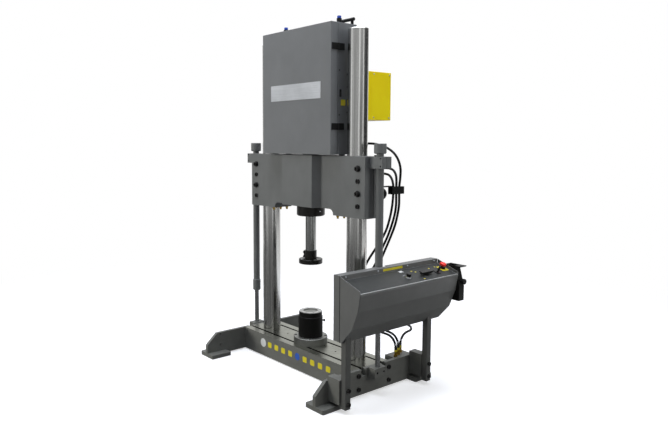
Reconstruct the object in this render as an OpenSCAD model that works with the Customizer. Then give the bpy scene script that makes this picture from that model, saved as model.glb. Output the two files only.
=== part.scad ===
// Floor-standing axial and torsional materials testing machine.
// Millimetres, +Z up, operator's front towards -Y, console on the +X side.
// The origin is on the load axis at the table's working face. Pieces are drawn with
// heights above the floor and then lowered by the height of the table.

/* [Table] */
// Length of the table along X
table_length = 924; // [860:2:1000]
// Depth of the table along Y
table_depth = 236; // [224:2:260]
// Height of the table's working face above the floor
table_top = 130; // [120:1:150]
// Gap between the table's lower edge and the floor
floor_gap = 5; // [3:1:10]
// Width of a T-slot at the working face
slot_width = 14; // [12:1:16]
// Width of a T-slot's lower part
slot_wide = 24; // [22:1:28]
// Depth of a T-slot's narrow part
slot_neck = 16; // [12:1:20]
// Full depth of a T-slot
slot_depth = 30; // [26:1:36]
// Distance of each T-slot from the load axis
slot_offset = 71; // [66:1:80]
// Distance of each threaded table hole from the load axis
table_hole_x = 203.5; // [190:0.5:220]
// Radius of a threaded table hole
table_hole_r = 5.1; // [4:0.1:6]
// Depth of a threaded table hole
table_hole_depth = 25; // [15:1:30]

/* [Side plates and feet] */
// Thickness of a side plate
plate_thickness = 20; // [16:1:25]
// Full length of a side plate along Y
plate_length = 760; // [720:2:800]
// Length of the slope at each end of a side plate
slope_length = 67; // [50:1:80]
// Drop of the slope at each end of a side plate
slope_drop = 60; // [40:1:70]
// Width of the T-nut notch in a side plate
notch_width = 28; // [26:1:34]
// Side of a square foot pad
pad_size = 127; // [110:1:140]
// Thickness of a foot pad
pad_thickness = 22; // [18:1:26]
// Corner radius of a foot pad
pad_corner = 8; // [4:1:14]
// Radius of a small hole in a side plate
plate_hole_r = 4.5; // [3:0.5:6]
// Radius of a side plate bolt's head
plate_bolt_r = 11; // [9:0.5:13]
// Height of a side plate bolt's head
plate_bolt_head = 9; // [7:0.5:12]
// Distance of a side plate bolt from the table's front or back face
plate_bolt_inset = 12; // [8:1:18]
// Depth of the upper side plate bolts below the table's face
plate_bolt_drop = 27; // [24:1:32]
// Distance between the upper and lower side plate bolts
plate_bolt_pitch = 67; // [60:1:75]

/* [Columns] */
// Diameter of a column
column_dia = 101.6; // [90:0.1:110]
// Distance of a column's axis from the crosshead's end
column_inset = 113; // [108:1:121]
// Height of the column tops above the floor
column_top = 1777; // [1700:1:1900]
// Chamfer on a column's top edge
column_chamfer = 3; // [1:0.5:5]
// Depth of a column's seat in the table
column_seat = 40; // [30:1:50]
// Radial clearance between a column and the crosshead
column_fit = 0.05; // [0.03:0.01:0.1]

/* [Crosshead] */
// Distance of the crosshead's end from a lift cylinder's axis
lift_out = 41; // [38:0.5:46]
// Depth of the crosshead along Y
crosshead_depth = 120; // [114:1:130]
// Height of the crosshead's clamps
crosshead_height = 300; // [280:1:320]
// Height of the crosshead's underside above the floor
crosshead_base = 861; // [850:1:1000]
// Rise of the middle of the crosshead above its clamps
crosshead_rise = 30; // [20:1:40]
// Distance of the raised middle's edge from a column's axis
recess_inset = 110; // [102:1:122]
// Radius of the raised middle's corners
recess_corner = 27; // [15:1:30]
// Half width of the actuator housing's front face
housing_half = 124; // [110:1:130]
// Half width of the actuator housing where it meets the crosshead
housing_root = 152; // [140:1:160]
// How far the actuator housing stands in front of the crosshead
housing_out = 41; // [30:1:50]
// Width of the slit in a clamp
slit_width = 4; // [3:0.5:6]
// Distance of the clamp bolts from a column's axis
clamp_bolt_out = 66; // [60:1:72]
// Height of the top clamp bolt below the crosshead's top
clamp_bolt_drop = 59; // [50:1:65]
// Distance between clamp bolts
clamp_bolt_pitch = 61; // [56:1:66]
// Radius of a large clamp bolt's head
clamp_head_r = 11; // [9:0.5:13]
// Radius of a large clamp bolt's washer
clamp_washer_r = 16; // [14:0.5:18]
// Thickness of a large clamp bolt's washer
clamp_washer = 4; // [2:0.5:5]
// Radius of a small clamp screw's head
clamp_screw_r = 11.5; // [9:0.5:13]
// Height of a clamp bolt's head
clamp_head = 12; // [8:0.5:14]

/* [Lift cylinders] */
// Distance of a lift cylinder's axis from a side plate's face
lift_inset = 25; // [24:0.5:28]
// Diameter of a lift rod
lift_rod_dia = 25; // [20:0.5:30]
// Outer diameter of a lift tube
lift_tube_dia = 38; // [36:0.5:42]
// Inner diameter of a lift tube
lift_tube_bore = 30; // [28:0.5:32]
// Outer diameter of a lift tube's lower gland
gland_dia = 46; // [44:0.5:50]
// Height of a lift tube's lower gland
gland_height = 66; // [50:1:80]
// Height of the gland's lower end above the floor
gland_base = 331; // [325:1:345]
// Height of a lift rod's top end above the floor
lift_rod_top = 870; // [820:1:900]
// Radial clearance between a lift rod and its gland
rod_fit = 0.05; // [0.03:0.01:0.1]
// Diameter of a lift cylinder's cap
cap_dia = 60; // [52:0.5:66]
// Height of a lift cylinder's cap
cap_height = 49; // [40:1:60]
// Diameter of the neck below a cap
neck_dia = 35; // [32:0.5:37]
// Height of the neck below a cap
neck_height = 13; // [8:1:16]
// Reach of a lift bracket past its cylinder's axis
bracket_reach = 42; // [36:1:48]
// Depth of a lift bracket along Y
bracket_depth = 66; // [60:1:76]
// Height of a lift bracket
bracket_height = 56; // [50:1:66]
// Width of a lift block along X
block_width = 48; // [46:1:54]
// Depth of a lift block along Y
block_depth = 80; // [70:1:90]
// Height of a lift block
block_height = 50; // [40:1:60]
// How far a lift block stands above the table
block_rise = 4; // [1:1:8]

/* [Load cell] */
// Diameter of the load cell's flange
flange_dia = 185; // [178:1:195]
// Thickness of the load cell's flange
flange_thickness = 40; // [30:1:46]
// Pitch circle of the flange bolts
flange_pcd = 164; // [160:1:166]
// Number of flange bolts
flange_bolts_count = 4; // [4:4:8]
// Radius of a flange bolt's head
flange_head_r = 8; // [6:0.5:9]
// Depth of a flange bolt's counterbore
flange_recess = 13; // [10:1:16]
// Depth of a flange bolt's thread in the table
flange_thread = 13; // [10:1:14]
// Diameter of the load cell's body
cell_dia = 133; // [128:1:138]
// Diameter of the load cell's upper part
cell_top_dia = 127; // [120:1:128]
// Height of the load cell's body below its step
cell_body_height = 111; // [100:1:130]
// Height of the load cell's upper part
cell_top_height = 25; // [18:1:30]
// Thickness of the load cell's steel mounting ring
ring_thickness = 5.5; // [4:0.5:8]
// Outer diameter of the mounting ring
ring_dia = 124; // [116:1:125]
// Diameter of the pocket inside the mounting ring
ring_bore = 80; // [70:1:84]
// Pitch circle of the mounting ring's holes
ring_pcd = 101.6; // [96:0.1:106]
// Number of holes in the mounting ring
ring_holes_count = 8; // [4:1:12]
// Radius of a hole in the mounting ring
ring_hole_r = 4.25; // [3:0.25:5]
// Depth of a threaded hole in the load cell
ring_hole_depth = 16; // [12:1:22]

/* [Actuator] */
// Diameter of the piston rod
piston_dia = 57; // [50:0.5:62]
// Radial clearance around the piston rod
piston_fit = 0.06; // [0.03:0.01:0.1]
// Diameter of the actuator's lower end ring
end_ring_dia = 152; // [140:1:160]
// Height of the actuator's lower end ring
end_ring_height = 56; // [45:1:65]
// Diameter of the platen
platen_dia = 128; // [118:1:134]
// Thickness of the platen
platen_thickness = 25; // [20:1:32]
// Height of the platen's underside above the floor
platen_base = 573; // [570:1:600]
// Pitch circle of the platen's holes
platen_pcd = 92; // [84:1:96]
// Number of holes in the platen
platen_holes_count = 4; // [3:1:8]
// Radius of a hole in the platen
platen_hole_r = 4.25; // [3:0.25:5]
// Outer diameter of the split collar above the platen
collar_dia = 65; // [63:0.5:74]
// Height of the split collar
collar_height = 46; // [40:1:60]
// Diameter of the actuator's barrel
barrel_dia = 92; // [86:1:96]
// Diameter of the rotary drive above the barrel
drive_dia = 102; // [96:1:104]
// Height of the top of the rotary drive above the crosshead
drive_top = 360; // [320:1:400]
// Diameter of the splined drive shaft
shaft_dia = 24; // [20:0.5:28]

/* [Cabinet] */
// Gap between the cabinet's side and a column
column_gap = 22.7; // [15:0.1:34]
// Height of the cabinet
cabinet_height = 645; // [600:1:700]
// Depth of the cabinet's fixed part
cabinet_depth = 125; // [115:1:135]
// Depth of the cabinet's door
door_depth = 45; // [40:1:50]
// Position of the seam between door and cabinet along Y
seam_y = -66; // [-70:1:-62]
// Gap between door and cabinet
seam_gap = 1.5; // [1:0.5:3]
// Sheet thickness of the cabinet and its door
sheet = 2.5; // [2:0.5:4]
// Gap between the cabinet and the crosshead
cabinet_gap = 6; // [3:1:12]
// Length of a hinge leaf
hinge_leaf = 40; // [30:1:44]
// Height of a hinge
hinge_height = 32; // [24:1:40]
// Thickness of a hinge leaf
hinge_thickness = 5; // [3:0.5:7]
// Height of the lower hinge's middle above the cabinet's base
hinge_low = 139; // [110:1:170]
// Height of the upper hinge's middle above the cabinet's base
hinge_high = 528; // [480:1:560]
// Width of the latch slot
latch_width = 12; // [8:1:16]
// Length of the latch slot
latch_length = 38; // [30:1:46]
// Distance of a hose port from the load axis
port_x = 215; // [195:1:235]
// Radius of a hose port's black base
port_base_r = 13; // [10:0.5:16]
// Height of a hose port's black base
port_base = 33; // [20:1:40]
// Radius of a hose port's blue cap
port_cap_r = 9.5; // [7:0.5:12]
// Height of a hose port's blue cap
port_cap = 13; // [8:1:18]
// Diameter of the top handle's bar
handle_bar_dia = 17; // [12:0.5:20]
// Width of the yellow drive cover along X
cover_width = 240; // [200:1:260]
// Depth of the yellow drive cover along Y
cover_depth = 256; // [200:1:280]
// Height of the yellow drive cover
cover_height = 248; // [200:1:280]
// Height of the yellow drive cover's base above the cabinet's base
cover_rise = 176; // [150:1:260]

/* [Console] */
// Distance of the console's mounting face from a side plate
console_out = 80; // [74:1:88]
// Near end of the console along Y
console_near = -305; // [-320:1:-302]
// Far end of the console along Y
console_far = 375; // [330:1:400]
// Height of the console's underside above the floor
console_base = 330; // [300:1:345]
// Height of the console's top above the floor
console_top = 635; // [600:1:660]
// Width of the console's back channel along X
channel_width = 44; // [36:1:46]
// Height of the channel's visible strip above the desk
strip_height = 22; // [16:1:30]
// Reach of the console's desk along X
desk_reach = 130; // [115:1:145]
// Drop of the desk from back to front
desk_drop = 38; // [28:1:45]
// Thickness of the console's folded sheet
console_sheet = 2.5; // [2:0.5:4]
// Thickness of the console's end plates
end_sheet = 3; // [2:0.5:5]
// How far an end plate stands above the desk at its front
end_lip = 13; // [5:1:16]
// Size of a square console post
post_size = 33; // [30:1:36]
// Wall thickness of a console post
post_wall = 4; // [3:0.5:5]
// Distance of the outer face of a post from the load axis along Y
post_y = 298; // [294:1:301]
// Gap between a post's lower end and the floor
post_gap = 20; // [15:1:30]
// Depth of a post block along Y
post_block_depth = 45; // [38:1:46]
// Outer face of a post block along Y
post_block_y = 307; // [304:1:312]
// Height of a post block
post_block_height = 116; // [100:1:118]
// How far a post block stands above the table
post_block_rise = 23; // [15:1:30]
// Height of the lower post bolt above the floor
post_bolt_low = 45; // [40:1:55]
// Distance between the post bolts
post_bolt_pitch = 65; // [55:1:70]

/* [Controls] */
// Radius of the emergency stop's mushroom head
stop_r = 17; // [14:0.5:22]
// Height of the emergency stop's mushroom head
stop_head = 13; // [10:0.5:18]
// Travel left under the emergency stop's head
stop_travel = 6; // [5:0.5:8]
// Radius of the selector knob
selector_r = 12; // [10:0.5:15]
// Height of the selector knob
selector_height = 15; // [10:0.5:20]
// Height of the paddle lever
paddle_height = 34; // [26:1:42]
// Width of the paddle lever
paddle_width = 14; // [10:0.5:18]
// Length of the lift valve's bar handle
valve_bar = 90; // [70:1:100]
// Width of the lift valve's bar handle
valve_bar_width = 20; // [14:1:26]
// Height of the lift valve's stem
valve_stem = 15; // [12:1:20]
// Width of the handset holder along X
holder_width = 86; // [76:1:96]
// Depth of the handset holder along Y
holder_depth = 40; // [36:1:56]
// Height of the handset holder
holder_height = 176; // [150:1:200]
// Radius of the handset holder's clamping knob
holder_knob_r = 14; // [11:0.5:17]

/* [Hydraulics] */
// Diameter of a hydraulic hose
hose_dia = 12; // [10:0.5:13]
// Length of the hose manifold along Y
manifold_length = 126; // [122:1:132]
// Width of the hose manifold along X
manifold_width = 74; // [72:1:80]
// Height of the hose manifold
manifold_height = 60; // [40:1:70]
// Radius of the accumulator
accumulator_r = 32; // [26:1:36]

/* [Hidden] */
eps = 0.01;
seat = 0.05;               // clearance where a round piece is fixed in a bore
move_gap = 0.4;            // clearance beside a moving piece
side_gap = 0.3;            // clearance beside the paddle lever
hose_gap = 0.25;           // clearance at each end of a hose
half_table = table_length / 2;
half_plate = plate_length / 2;
plate_x = half_table + plate_thickness / 2;
plate_bolt_y = table_depth / 2 - plate_bolt_inset;
pad_y = half_plate + 1 - pad_size / 2;
plate_face = half_table + plate_thickness;
lift_x = plate_face + lift_inset;
half_cross = lift_x - lift_out;
column_x = half_cross - column_inset;
column_r = column_dia / 2;
recess_half = column_x - recess_inset;
clamp_bolt_x = column_x + clamp_bolt_out;
bracket_end = lift_x + bracket_reach;
console_x = plate_face + console_out;
half_depth = crosshead_depth / 2;
crosshead_top = crosshead_base + crosshead_height;
middle_base = crosshead_base + crosshead_rise;
housing_front = half_depth + housing_out;
clamp_mouth = column_x + column_r;
bolt_top = crosshead_top - clamp_bolt_drop;
bracket_base = crosshead_top - bracket_height;
lift_block_top = table_top + block_rise;
lift_block_base = lift_block_top - block_height;
cell_base = table_top + flange_thickness;
cell_step = cell_base + cell_body_height;
cell_top = cell_step + cell_top_height;
ring_depth = 2;            // sink of the steel ring in the load cell
connector_z = cell_base + 84;
end_ring_base = middle_base - end_ring_height;
collar_base = platen_base + platen_thickness;
rod_top = crosshead_top + 150;
rod_socket = rod_top - 260;  // lower end of the bore that the splined shaft runs in
spline_base = rod_top - 150;
drive_base = crosshead_top + 230;
drive_cap = crosshead_top + drive_top;
cabinet_base = crosshead_top + cabinet_gap;
cabinet_top = cabinet_base + cabinet_height;
cabinet_back = seam_y + cabinet_depth;
half_cabinet = column_x - column_r - column_gap;
door_front = seam_y - seam_gap - door_depth;
hinge_x = half_cabinet + hinge_thickness + 1;
hinge_y = seam_y - seam_gap / 2;
knuckle_r = 4.6;
console_front = console_x + desk_reach;
desk_back = console_top - strip_height;
desk_front = desk_back - desk_drop;
desk_slope = atan(desk_drop / (desk_reach - 4));
nose = desk_front - 8;
crease_high = console_base + (nose - console_base) * 0.68;
crease_low = console_base + (nose - console_base) * 0.31;
console_mid = (console_near + console_far) / 2;
post_top = console_top - 40;
post_front = console_x + post_size;
post_block_top = table_top + post_block_rise;
post_block_base = post_block_top - post_block_height;
stop_at = [console_x + 54, console_far - 32];
selector_at = [console_x + 74, console_mid + 31];
paddle_at = [console_x + 80, console_mid + 238];
valve_at = [console_x + 76, console_mid + 158];
holder_x = console_x + 50;
holder_y = console_far + end_sheet;
holder_top = desk_back + 1;
holder_knob_at = [holder_x + holder_width, holder_y + 20, holder_top - 77];
ferrule_top = 26;           // height of a hose end above the manifold
manifold_x = half_table - manifold_width;
manifold_y = table_depth / 2 + 62;
manifold_top = table_top - 6;
arm_x = half_cross - 22;
arm_z = crosshead_base + 153;
clamp_x = half_cross - 2;    // where the hoses pass through their clamp
valve_x = half_cross - 166;
valve_base = crosshead_base + 69;
valve_width = 86;
valve_height = 210;
accumulator_at = [half_cross - 66, half_depth + 58, crosshead_base + 110];

// Holes for the brass plugs under the crosshead's clamps
plug_at = [
  [63 - column_x, -30], [73 - column_x, 10], [85 - column_x, 46],
  [column_x - 101, -35], [column_x - 91, 0]
];

// Routes of the hoses in the part's own frame, from the crosshead down to the manifold
hose_a_route = [
  [190, 73, 1085], [190, 88, 1085], [195, 116, 1086], [210, 142, 1089], [238, 157, 1091],
  [282, 160, 1092], [342, 152, 1088], [400, 152, 1074], [446, 158, 1048], [470, 168, 1012],
  [477, 178, 968], [470, 185, 920], [464, 186, 880], [464, 186, 840], [464, 186, 786],
  [456, 185, 735], [440, 185, 680], [414, 185, 622], [384, 187, 566], [350, 191, 506],
  [312, 198, 440], [278, 210, 372], [256, 229, 302], [246, 266, 238], [250, 308, 188],
  [266, 350, 149], [290, 380, 124], [319, 395, 110], [348, 398, 105], [373, 393, 102],
  [393, 379, 99], [406, 359, 96], [410, 335, 94], [410, 311, 89], [410, 291, 76],
  [410, 278, 56], [410, 273, 34], [410, 273, 20]
];
hose_b_route = [
  [348, 98, 968], [348, 118, 968], [352, 140, 968], [364, 158, 968], [383, 171, 968],
  [405, 176, 967], [428, 175, 961], [447, 171, 948], [459, 167, 930], [464, 164, 906],
  [464, 164, 880], [464, 164, 840], [463, 165, 786], [453, 166, 735], [432, 167, 676],
  [404, 168, 616], [370, 169, 556], [332, 171, 484], [296, 174, 430], [262, 180, 372],
  [236, 190, 306], [228, 204, 236], [244, 218, 174], [276, 229, 130], [306, 235, 109],
  [338, 236, 101], [369, 236, 98], [393, 236, 93], [413, 236, 80], [426, 236, 60],
  [431, 236, 36], [431, 236, 20]
];
hose_c_route = [
  [326, 98, 940], [326, 112, 940], [331, 134, 940], [344, 152, 940], [363, 164, 940],
  [386, 167, 939], [410, 162, 936], [431, 155, 928], [449, 148, 914], [460, 143, 896],
  [464, 142, 876], [464, 142, 840], [456, 144, 780], [438, 147, 716], [412, 150, 654],
  [370, 154, 592], [323, 158, 536], [268, 162, 466], [228, 167, 396], [206, 173, 320],
  [206, 180, 244], [228, 187, 176], [264, 193, 128], [300, 197, 106], [340, 199, 99],
  [384, 199, 98], [408, 199, 93], [428, 199, 80], [441, 199, 60], [446, 199, 38],
  [446, 199, 20]
];
hose_sides = 8;
hose_rings = 46;
fitting_at = [
  [half_table - 16, manifold_y + 19], [half_table - 31, manifold_y + 56], [half_table - 52, manifold_y + 93]
];

$fn = 96;

// ---- shared shapes

module mirrored_x() {
  children();
  mirror([1, 0, 0]) children();
}

module mirrored_y() {
  children();
  mirror([0, 1, 0]) children();
}

module from_floor() {
  translate([0, 0, -table_top]) children();
}

module at_corners(dx, dy) {
  for (sx = [-1, 1])
    for (sy = [-1, 1])
      translate([sx * dx, sy * dy, 0]) children();
}

module box(low, high) {
  translate(low) cube(high - low);
}

module rounded_slab(size_x, size_y, height, corner) {
  linear_extrude(height)
    offset(r = corner, $fn = 32) square([size_x - 2 * corner, size_y - 2 * corner], center = true);
}

// Socket head cap screw, head towards +Z, with its under-head face at z = 0
module cap_screw(head_r, head_h, shank_r, shank_l) {
  difference() {
    cylinder(r = head_r, h = head_h, $fn = 40);
    translate([0, 0, head_h * 0.45]) cylinder(r = head_r * 0.55, h = head_h, $fn = 6);
  }
  translate([0, 0, -shank_l]) cylinder(r = shank_r, h = shank_l + eps, $fn = 32);
}

// A piece standing square on the sloping desk
module on_desk(at) {
  translate([at[0], at[1], desk_back - (at[0] - console_x) * tan(desk_slope)])
    rotate([0, desk_slope, 0]) children();
}

// ---- table, side plates and feet

module base_table() {
  color("darkgray") difference() {
    box([-half_table, -table_depth / 2, floor_gap], [half_table, table_depth / 2, table_top]);
    mirrored_y() {
      box(
        [-half_table - 1, slot_offset - slot_width / 2, table_top - slot_neck - 1],
        [half_table + 1, slot_offset + slot_width / 2, table_top + 1]
      );
      box(
        [-half_table - 1, slot_offset - slot_wide / 2, table_top - slot_depth],
        [half_table + 1, slot_offset + slot_wide / 2, table_top - slot_neck]
      );
    }
    mirrored_x() {
      translate([column_x, 0, table_top - column_seat])
        cylinder(r = column_r + seat, h = column_seat + 1, $fn = 128);
      translate([table_hole_x, 0, table_top - table_hole_depth])
        cylinder(r = table_hole_r, h = table_hole_depth + 1, $fn = 32);
    }
    // tapped holes for the side plate bolts
    mirrored_x() mirrored_y()
      for (drop = [plate_bolt_drop, plate_bolt_drop + plate_bolt_pitch])
        translate([half_table - 15, plate_bolt_y, table_top - drop])
          rotate([0, 90, 0]) cylinder(r = plate_bolt_r * 0.6 + seat, h = 20, $fn = 32);
    // tapped holes for the load cell's flange
    for (i = [0 : flange_bolts_count - 1])
      rotate([0, 0, (i + 0.5) * 360 / flange_bolts_count])
        translate([flange_pcd / 2, 0, table_top - flange_thread - 1])
          cylinder(r = flange_head_r * 0.6 + seat, h = 30, $fn = 32);
  }
}

// Outline of a side plate in Y and Z, with its foot steps and T-nut notches
module plate_outline() {
  step = half_plate + 1 - pad_size - 1;
  difference() {
    polygon([
      [-half_plate, pad_thickness], [-step, pad_thickness], [-step, floor_gap],
      [step, floor_gap], [step, pad_thickness], [half_plate, pad_thickness],
      [half_plate, table_top - slope_drop], [half_plate - slope_length, table_top],
      [-half_plate + slope_length, table_top], [-half_plate, table_top - slope_drop]
    ]);
    for (side = [-1, 1])
      translate([side * slot_offset - notch_width / 2, table_top - slot_depth - 6])
        square([notch_width, slot_depth + 10]);
  }
}

module side_plate() {
  difference() {
    translate([half_table, 0, 0])
      rotate([90, 0, 90]) linear_extrude(plate_thickness) plate_outline();
    mirrored_y() {
      for (z = [table_top - 11, table_top - 71])
        translate([half_table - 1, post_block_y - 14, z])
          rotate([0, 90, 0]) cylinder(r = plate_hole_r, h = plate_thickness + 2, $fn = 32);
      for (drop = [plate_bolt_drop, plate_bolt_drop + plate_bolt_pitch])
        translate([half_table - 1, plate_bolt_y, table_top - drop])
          rotate([0, 90, 0]) cylinder(r = plate_bolt_r * 0.6 + seat, h = plate_thickness + 2, $fn = 32);
    }
  }
}

module left_side_plate() {
  color("dimgray") mirror([1, 0, 0]) side_plate();
}

module right_side_plate() {
  color("dimgray") side_plate();
}

module foot_pads() {
  color("dimgray") at_corners(plate_x, pad_y)
    rounded_slab(pad_size, pad_size, pad_thickness, pad_corner);
}

module side_plate_bolts() {
  color("black") mirrored_x() mirrored_y()
    for (drop = [plate_bolt_drop, plate_bolt_drop + plate_bolt_pitch])
      translate([plate_face, plate_bolt_y, table_top - drop])
        rotate([0, 90, 0]) cap_screw(plate_bolt_r, plate_bolt_head, plate_bolt_r * 0.6, plate_thickness + 12);
}

// ---- columns and lift rods

module column() {
  translate([column_x, 0, 0]) rotate_extrude($fn = 128) polygon([
    [0, table_top - column_seat], [column_r, table_top - column_seat],
    [column_r, column_top - column_chamfer], [column_r - column_chamfer, column_top],
    [0, column_top]
  ]);
}

module left_column() {
  color("silver") mirror([1, 0, 0]) column();
}

module right_column() {
  color("silver") column();
}

module lift_block() {
  difference() {
    box(
      [plate_face, -block_depth / 2, lift_block_base],
      [plate_face + block_width, block_depth / 2, lift_block_top]
    );
    translate([lift_x, 0, lift_block_top - 30])
      cylinder(r = lift_rod_dia / 2 + seat, h = 40, $fn = 64);
    for (side = [-1, 1])
      translate([plate_face + block_width - 8, side * block_depth * 0.28, lift_block_top - 22])
        rotate([0, 90, 0]) cylinder(r = 5.5, h = 20, $fn = 32);
  }
}

module left_lift_block() {
  color("gray") mirror([1, 0, 0]) lift_block();
}

module right_lift_block() {
  color("gray") lift_block();
}

module lift_rod() {
  translate([lift_x, 0, lift_block_top - 30])
    cylinder(r = lift_rod_dia / 2, h = lift_rod_top - lift_block_top + 30, $fn = 64);
}

module left_lift_rod() {
  color("silver") mirror([1, 0, 0]) lift_rod();
}

module right_lift_rod() {
  color("silver") lift_rod();
}

// ---- load cell

module cell_flange() {
  color("lightgray") difference() {
    translate([0, 0, table_top]) rotate_extrude($fn = 128) polygon([
      [0, 0], [flange_dia / 2, 0], [flange_dia / 2, flange_thickness - 2],
      [flange_dia / 2 - 2, flange_thickness], [0, flange_thickness]
    ]);
    for (i = [0 : flange_bolts_count - 1])
      rotate([0, 0, (i + 0.5) * 360 / flange_bolts_count]) translate([flange_pcd / 2, 0, table_top]) {
        translate([0, 0, -1])
          cylinder(r = flange_head_r * 0.6 + seat, h = flange_thickness + 2, $fn = 32);
        translate([0, 0, flange_thickness - flange_recess])
          cylinder(r = flange_head_r + 1.2, h = flange_recess + 1, $fn = 40);
      }
  }
}

module flange_bolts() {
  color("black") for (i = [0 : flange_bolts_count - 1])
    rotate([0, 0, (i + 0.5) * 360 / flange_bolts_count])
      translate([flange_pcd / 2, 0, table_top + flange_thickness - flange_recess])
        cap_screw(flange_head_r, 9, flange_head_r * 0.6, flange_thickness - flange_recess + flange_thread);
}

module load_cell() {
  color("black") {
    difference() {
      rotate_extrude($fn = 128) polygon([
        [0, cell_base], [cell_dia / 2, cell_base], [cell_dia / 2, cell_step - 2],
        [cell_dia / 2 - 2, cell_step], [cell_top_dia / 2, cell_step],
        [cell_top_dia / 2, cell_top - 0.5], [cell_top_dia / 2 - 0.5, cell_top], [0, cell_top]
      ]);
      translate([0, 0, cell_top - ring_depth])
        cylinder(r = ring_dia / 2 + seat, h = ring_depth + 1, $fn = 128);
      at_ring_holes() translate([0, 0, cell_top - ring_hole_depth])
        cylinder(r = ring_hole_r, h = ring_hole_depth + 1, $fn = 32);
    }
    // cable connector behind the console side
    translate([0, 0, connector_z]) rotate([0, 90, 50]) {
      translate([0, 0, cell_dia / 2 - 3]) cylinder(r = 4, h = 8, $fn = 40);
      translate([0, 0, cell_dia / 2 + 5 - eps]) cylinder(r = 6, h = 9, $fn = 40);
    }
  }
}

module load_cell_ring() {
  color("silver") difference() {
    translate([0, 0, cell_top - ring_depth]) cylinder(r = ring_dia / 2, h = ring_thickness, $fn = 128);
    translate([0, 0, cell_top - ring_depth - 1])
      cylinder(r = ring_bore / 2, h = ring_thickness + 2, $fn = 96);
    at_ring_holes() translate([0, 0, cell_top - ring_depth - 1])
      cylinder(r = ring_hole_r, h = ring_thickness + 2, $fn = 32);
  }
}

module at_ring_holes() {
  for (i = [0 : ring_holes_count - 1])
    rotate([0, 0, (i + 0.5) * 360 / ring_holes_count]) translate([ring_pcd / 2, 0, 0]) children();
}

// ---- console posts

module post_block() {
  difference() {
    box(
      [plate_face, post_block_y - post_block_depth, post_block_base],
      [console_x, post_block_y, post_block_top]
    );
    for (z = [post_bolt_low, post_bolt_low + post_bolt_pitch])
      translate([console_x - 24, post_y - post_size / 2, z])
        rotate([0, 90, 0]) cylinder(r = 6 + seat, h = 30, $fn = 32);
  }
}

module front_post_block() {
  color("dimgray") mirror([0, 1, 0]) post_block();
}

module rear_post_block() {
  color("dimgray") post_block();
}

module post() {
  difference() {
    translate([console_x + post_size / 2, post_y - post_size / 2, post_gap])
      linear_extrude(post_top - post_gap) difference() {
        offset(r = 4, $fn = 32) square(post_size - 8, center = true);
        square(post_size - 2 * post_wall, center = true);
      }
    for (z = [post_bolt_low, post_bolt_low + post_bolt_pitch])
      translate([console_x - 1, post_y - post_size / 2, z])
        rotate([0, 90, 0]) cylinder(r = 6 + seat, h = post_size + 2, $fn = 32);
  }
}

module front_post() {
  color("dimgray") mirror([0, 1, 0]) post();
}

module rear_post() {
  color("dimgray") post();
}

module post_bolts() {
  color("black") mirrored_y()
    for (z = [post_bolt_low, post_bolt_low + post_bolt_pitch])
      translate([post_front, post_y - post_size / 2, z])
        rotate([0, 90, 0]) cap_screw(10, 9, 6, post_size + 20);
}

// ---- hose manifold behind the right side plate

module manifold() {
  color("gray") difference() {
    box(
      [manifold_x, manifold_y, manifold_top - manifold_height],
      [half_table, manifold_y + manifold_length, manifold_top]
    );
    for (at = fitting_at)
      translate([at[0], at[1], manifold_top - 12]) cylinder(r = 7 + seat, h = 20, $fn = 32);
  }
}

module hose_fittings() {
  color("goldenrod") for (at = fitting_at)
    translate([at[0], at[1], manifold_top]) {
      translate([0, 0, -12]) cylinder(r = 7, h = 12 + eps, $fn = 32);
      cylinder(r = 11, h = 11, $fn = 6);
      translate([0, 0, 11 - eps]) cylinder(r = hose_dia / 2 + 1.5, h = ferrule_top - 11 - hose_gap, $fn = 40);
    }
}

// ---- console

module console_channel() {
  color("dimgray") difference() {
    box(
      [console_x - channel_width, console_near, console_base],
      [console_x, console_far, console_top]
    );
    box(
      [console_x - channel_width - 1, console_near + end_sheet, console_base + console_sheet],
      [console_x - 4, console_far - end_sheet, console_top - console_sheet]
    );
    // notch around the lift cylinder
    box(
      [console_x - channel_width - 1, -gland_dia / 2 - 4, console_base - 1],
      [lift_x + gland_dia / 2 + 4, gland_dia / 2 + 4, console_top + 1]
    );
  }
}

// Outline of the console's front in X and Z
module console_outline(inset, lift, back_lift) {
  polygon([
    [console_x, console_base + inset],
    [console_x + 12 - inset * 0.3, console_base + inset],
    [console_x + desk_reach * 0.61 - inset, crease_low + inset * 0.3],
    [console_x + desk_reach * 0.88 - inset, crease_high],
    [console_front - inset, nose - inset + lift],
    [console_front - 4 - inset, desk_front - inset + lift],
    [console_x, desk_back - inset + back_lift]
  ]);
}

module console_shell() {
  inside = console_sheet;
  color("dimgray") {
    difference() {
      translate([0, console_far, 0]) rotate([90, 0, 0])
        linear_extrude(console_far - console_near) console_outline(0, 0, 0);
      translate([0, console_far - inside, 0]) rotate([90, 0, 0])
        linear_extrude(console_far - console_near - 2 * inside) console_outline(inside, 0, 0);
      box([console_x - 1, console_near - 1, console_base - 1], [console_x + seat, console_far + 1, console_top]);
      mirrored_y()
        box(
          [console_x - 1, post_y - post_size - move_gap, console_base - 1],
          [post_front + move_gap, post_y + move_gap, console_base + 60]
        );
      stem_hole(stop_at, 8.4);
      stem_hole(selector_at, 5.4);
      stem_hole(valve_at, 7.4);
      stem_hole(paddle_at, 10.4);
    }
    for (y = [console_near - end_sheet, console_far])
      translate([0, y + end_sheet, 0]) rotate([90, 0, 0]) linear_extrude(end_sheet) difference() {
        console_outline(0, end_lip, strip_height - 1);
        translate([console_x - 1, console_base - 1]) square([1 + seat, console_top]);
      }
  }
}

module stem_hole(at, r) {
  on_desk(at) translate([0, 0, -12]) cylinder(r = r, h = 24, $fn = 40);
}

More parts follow.
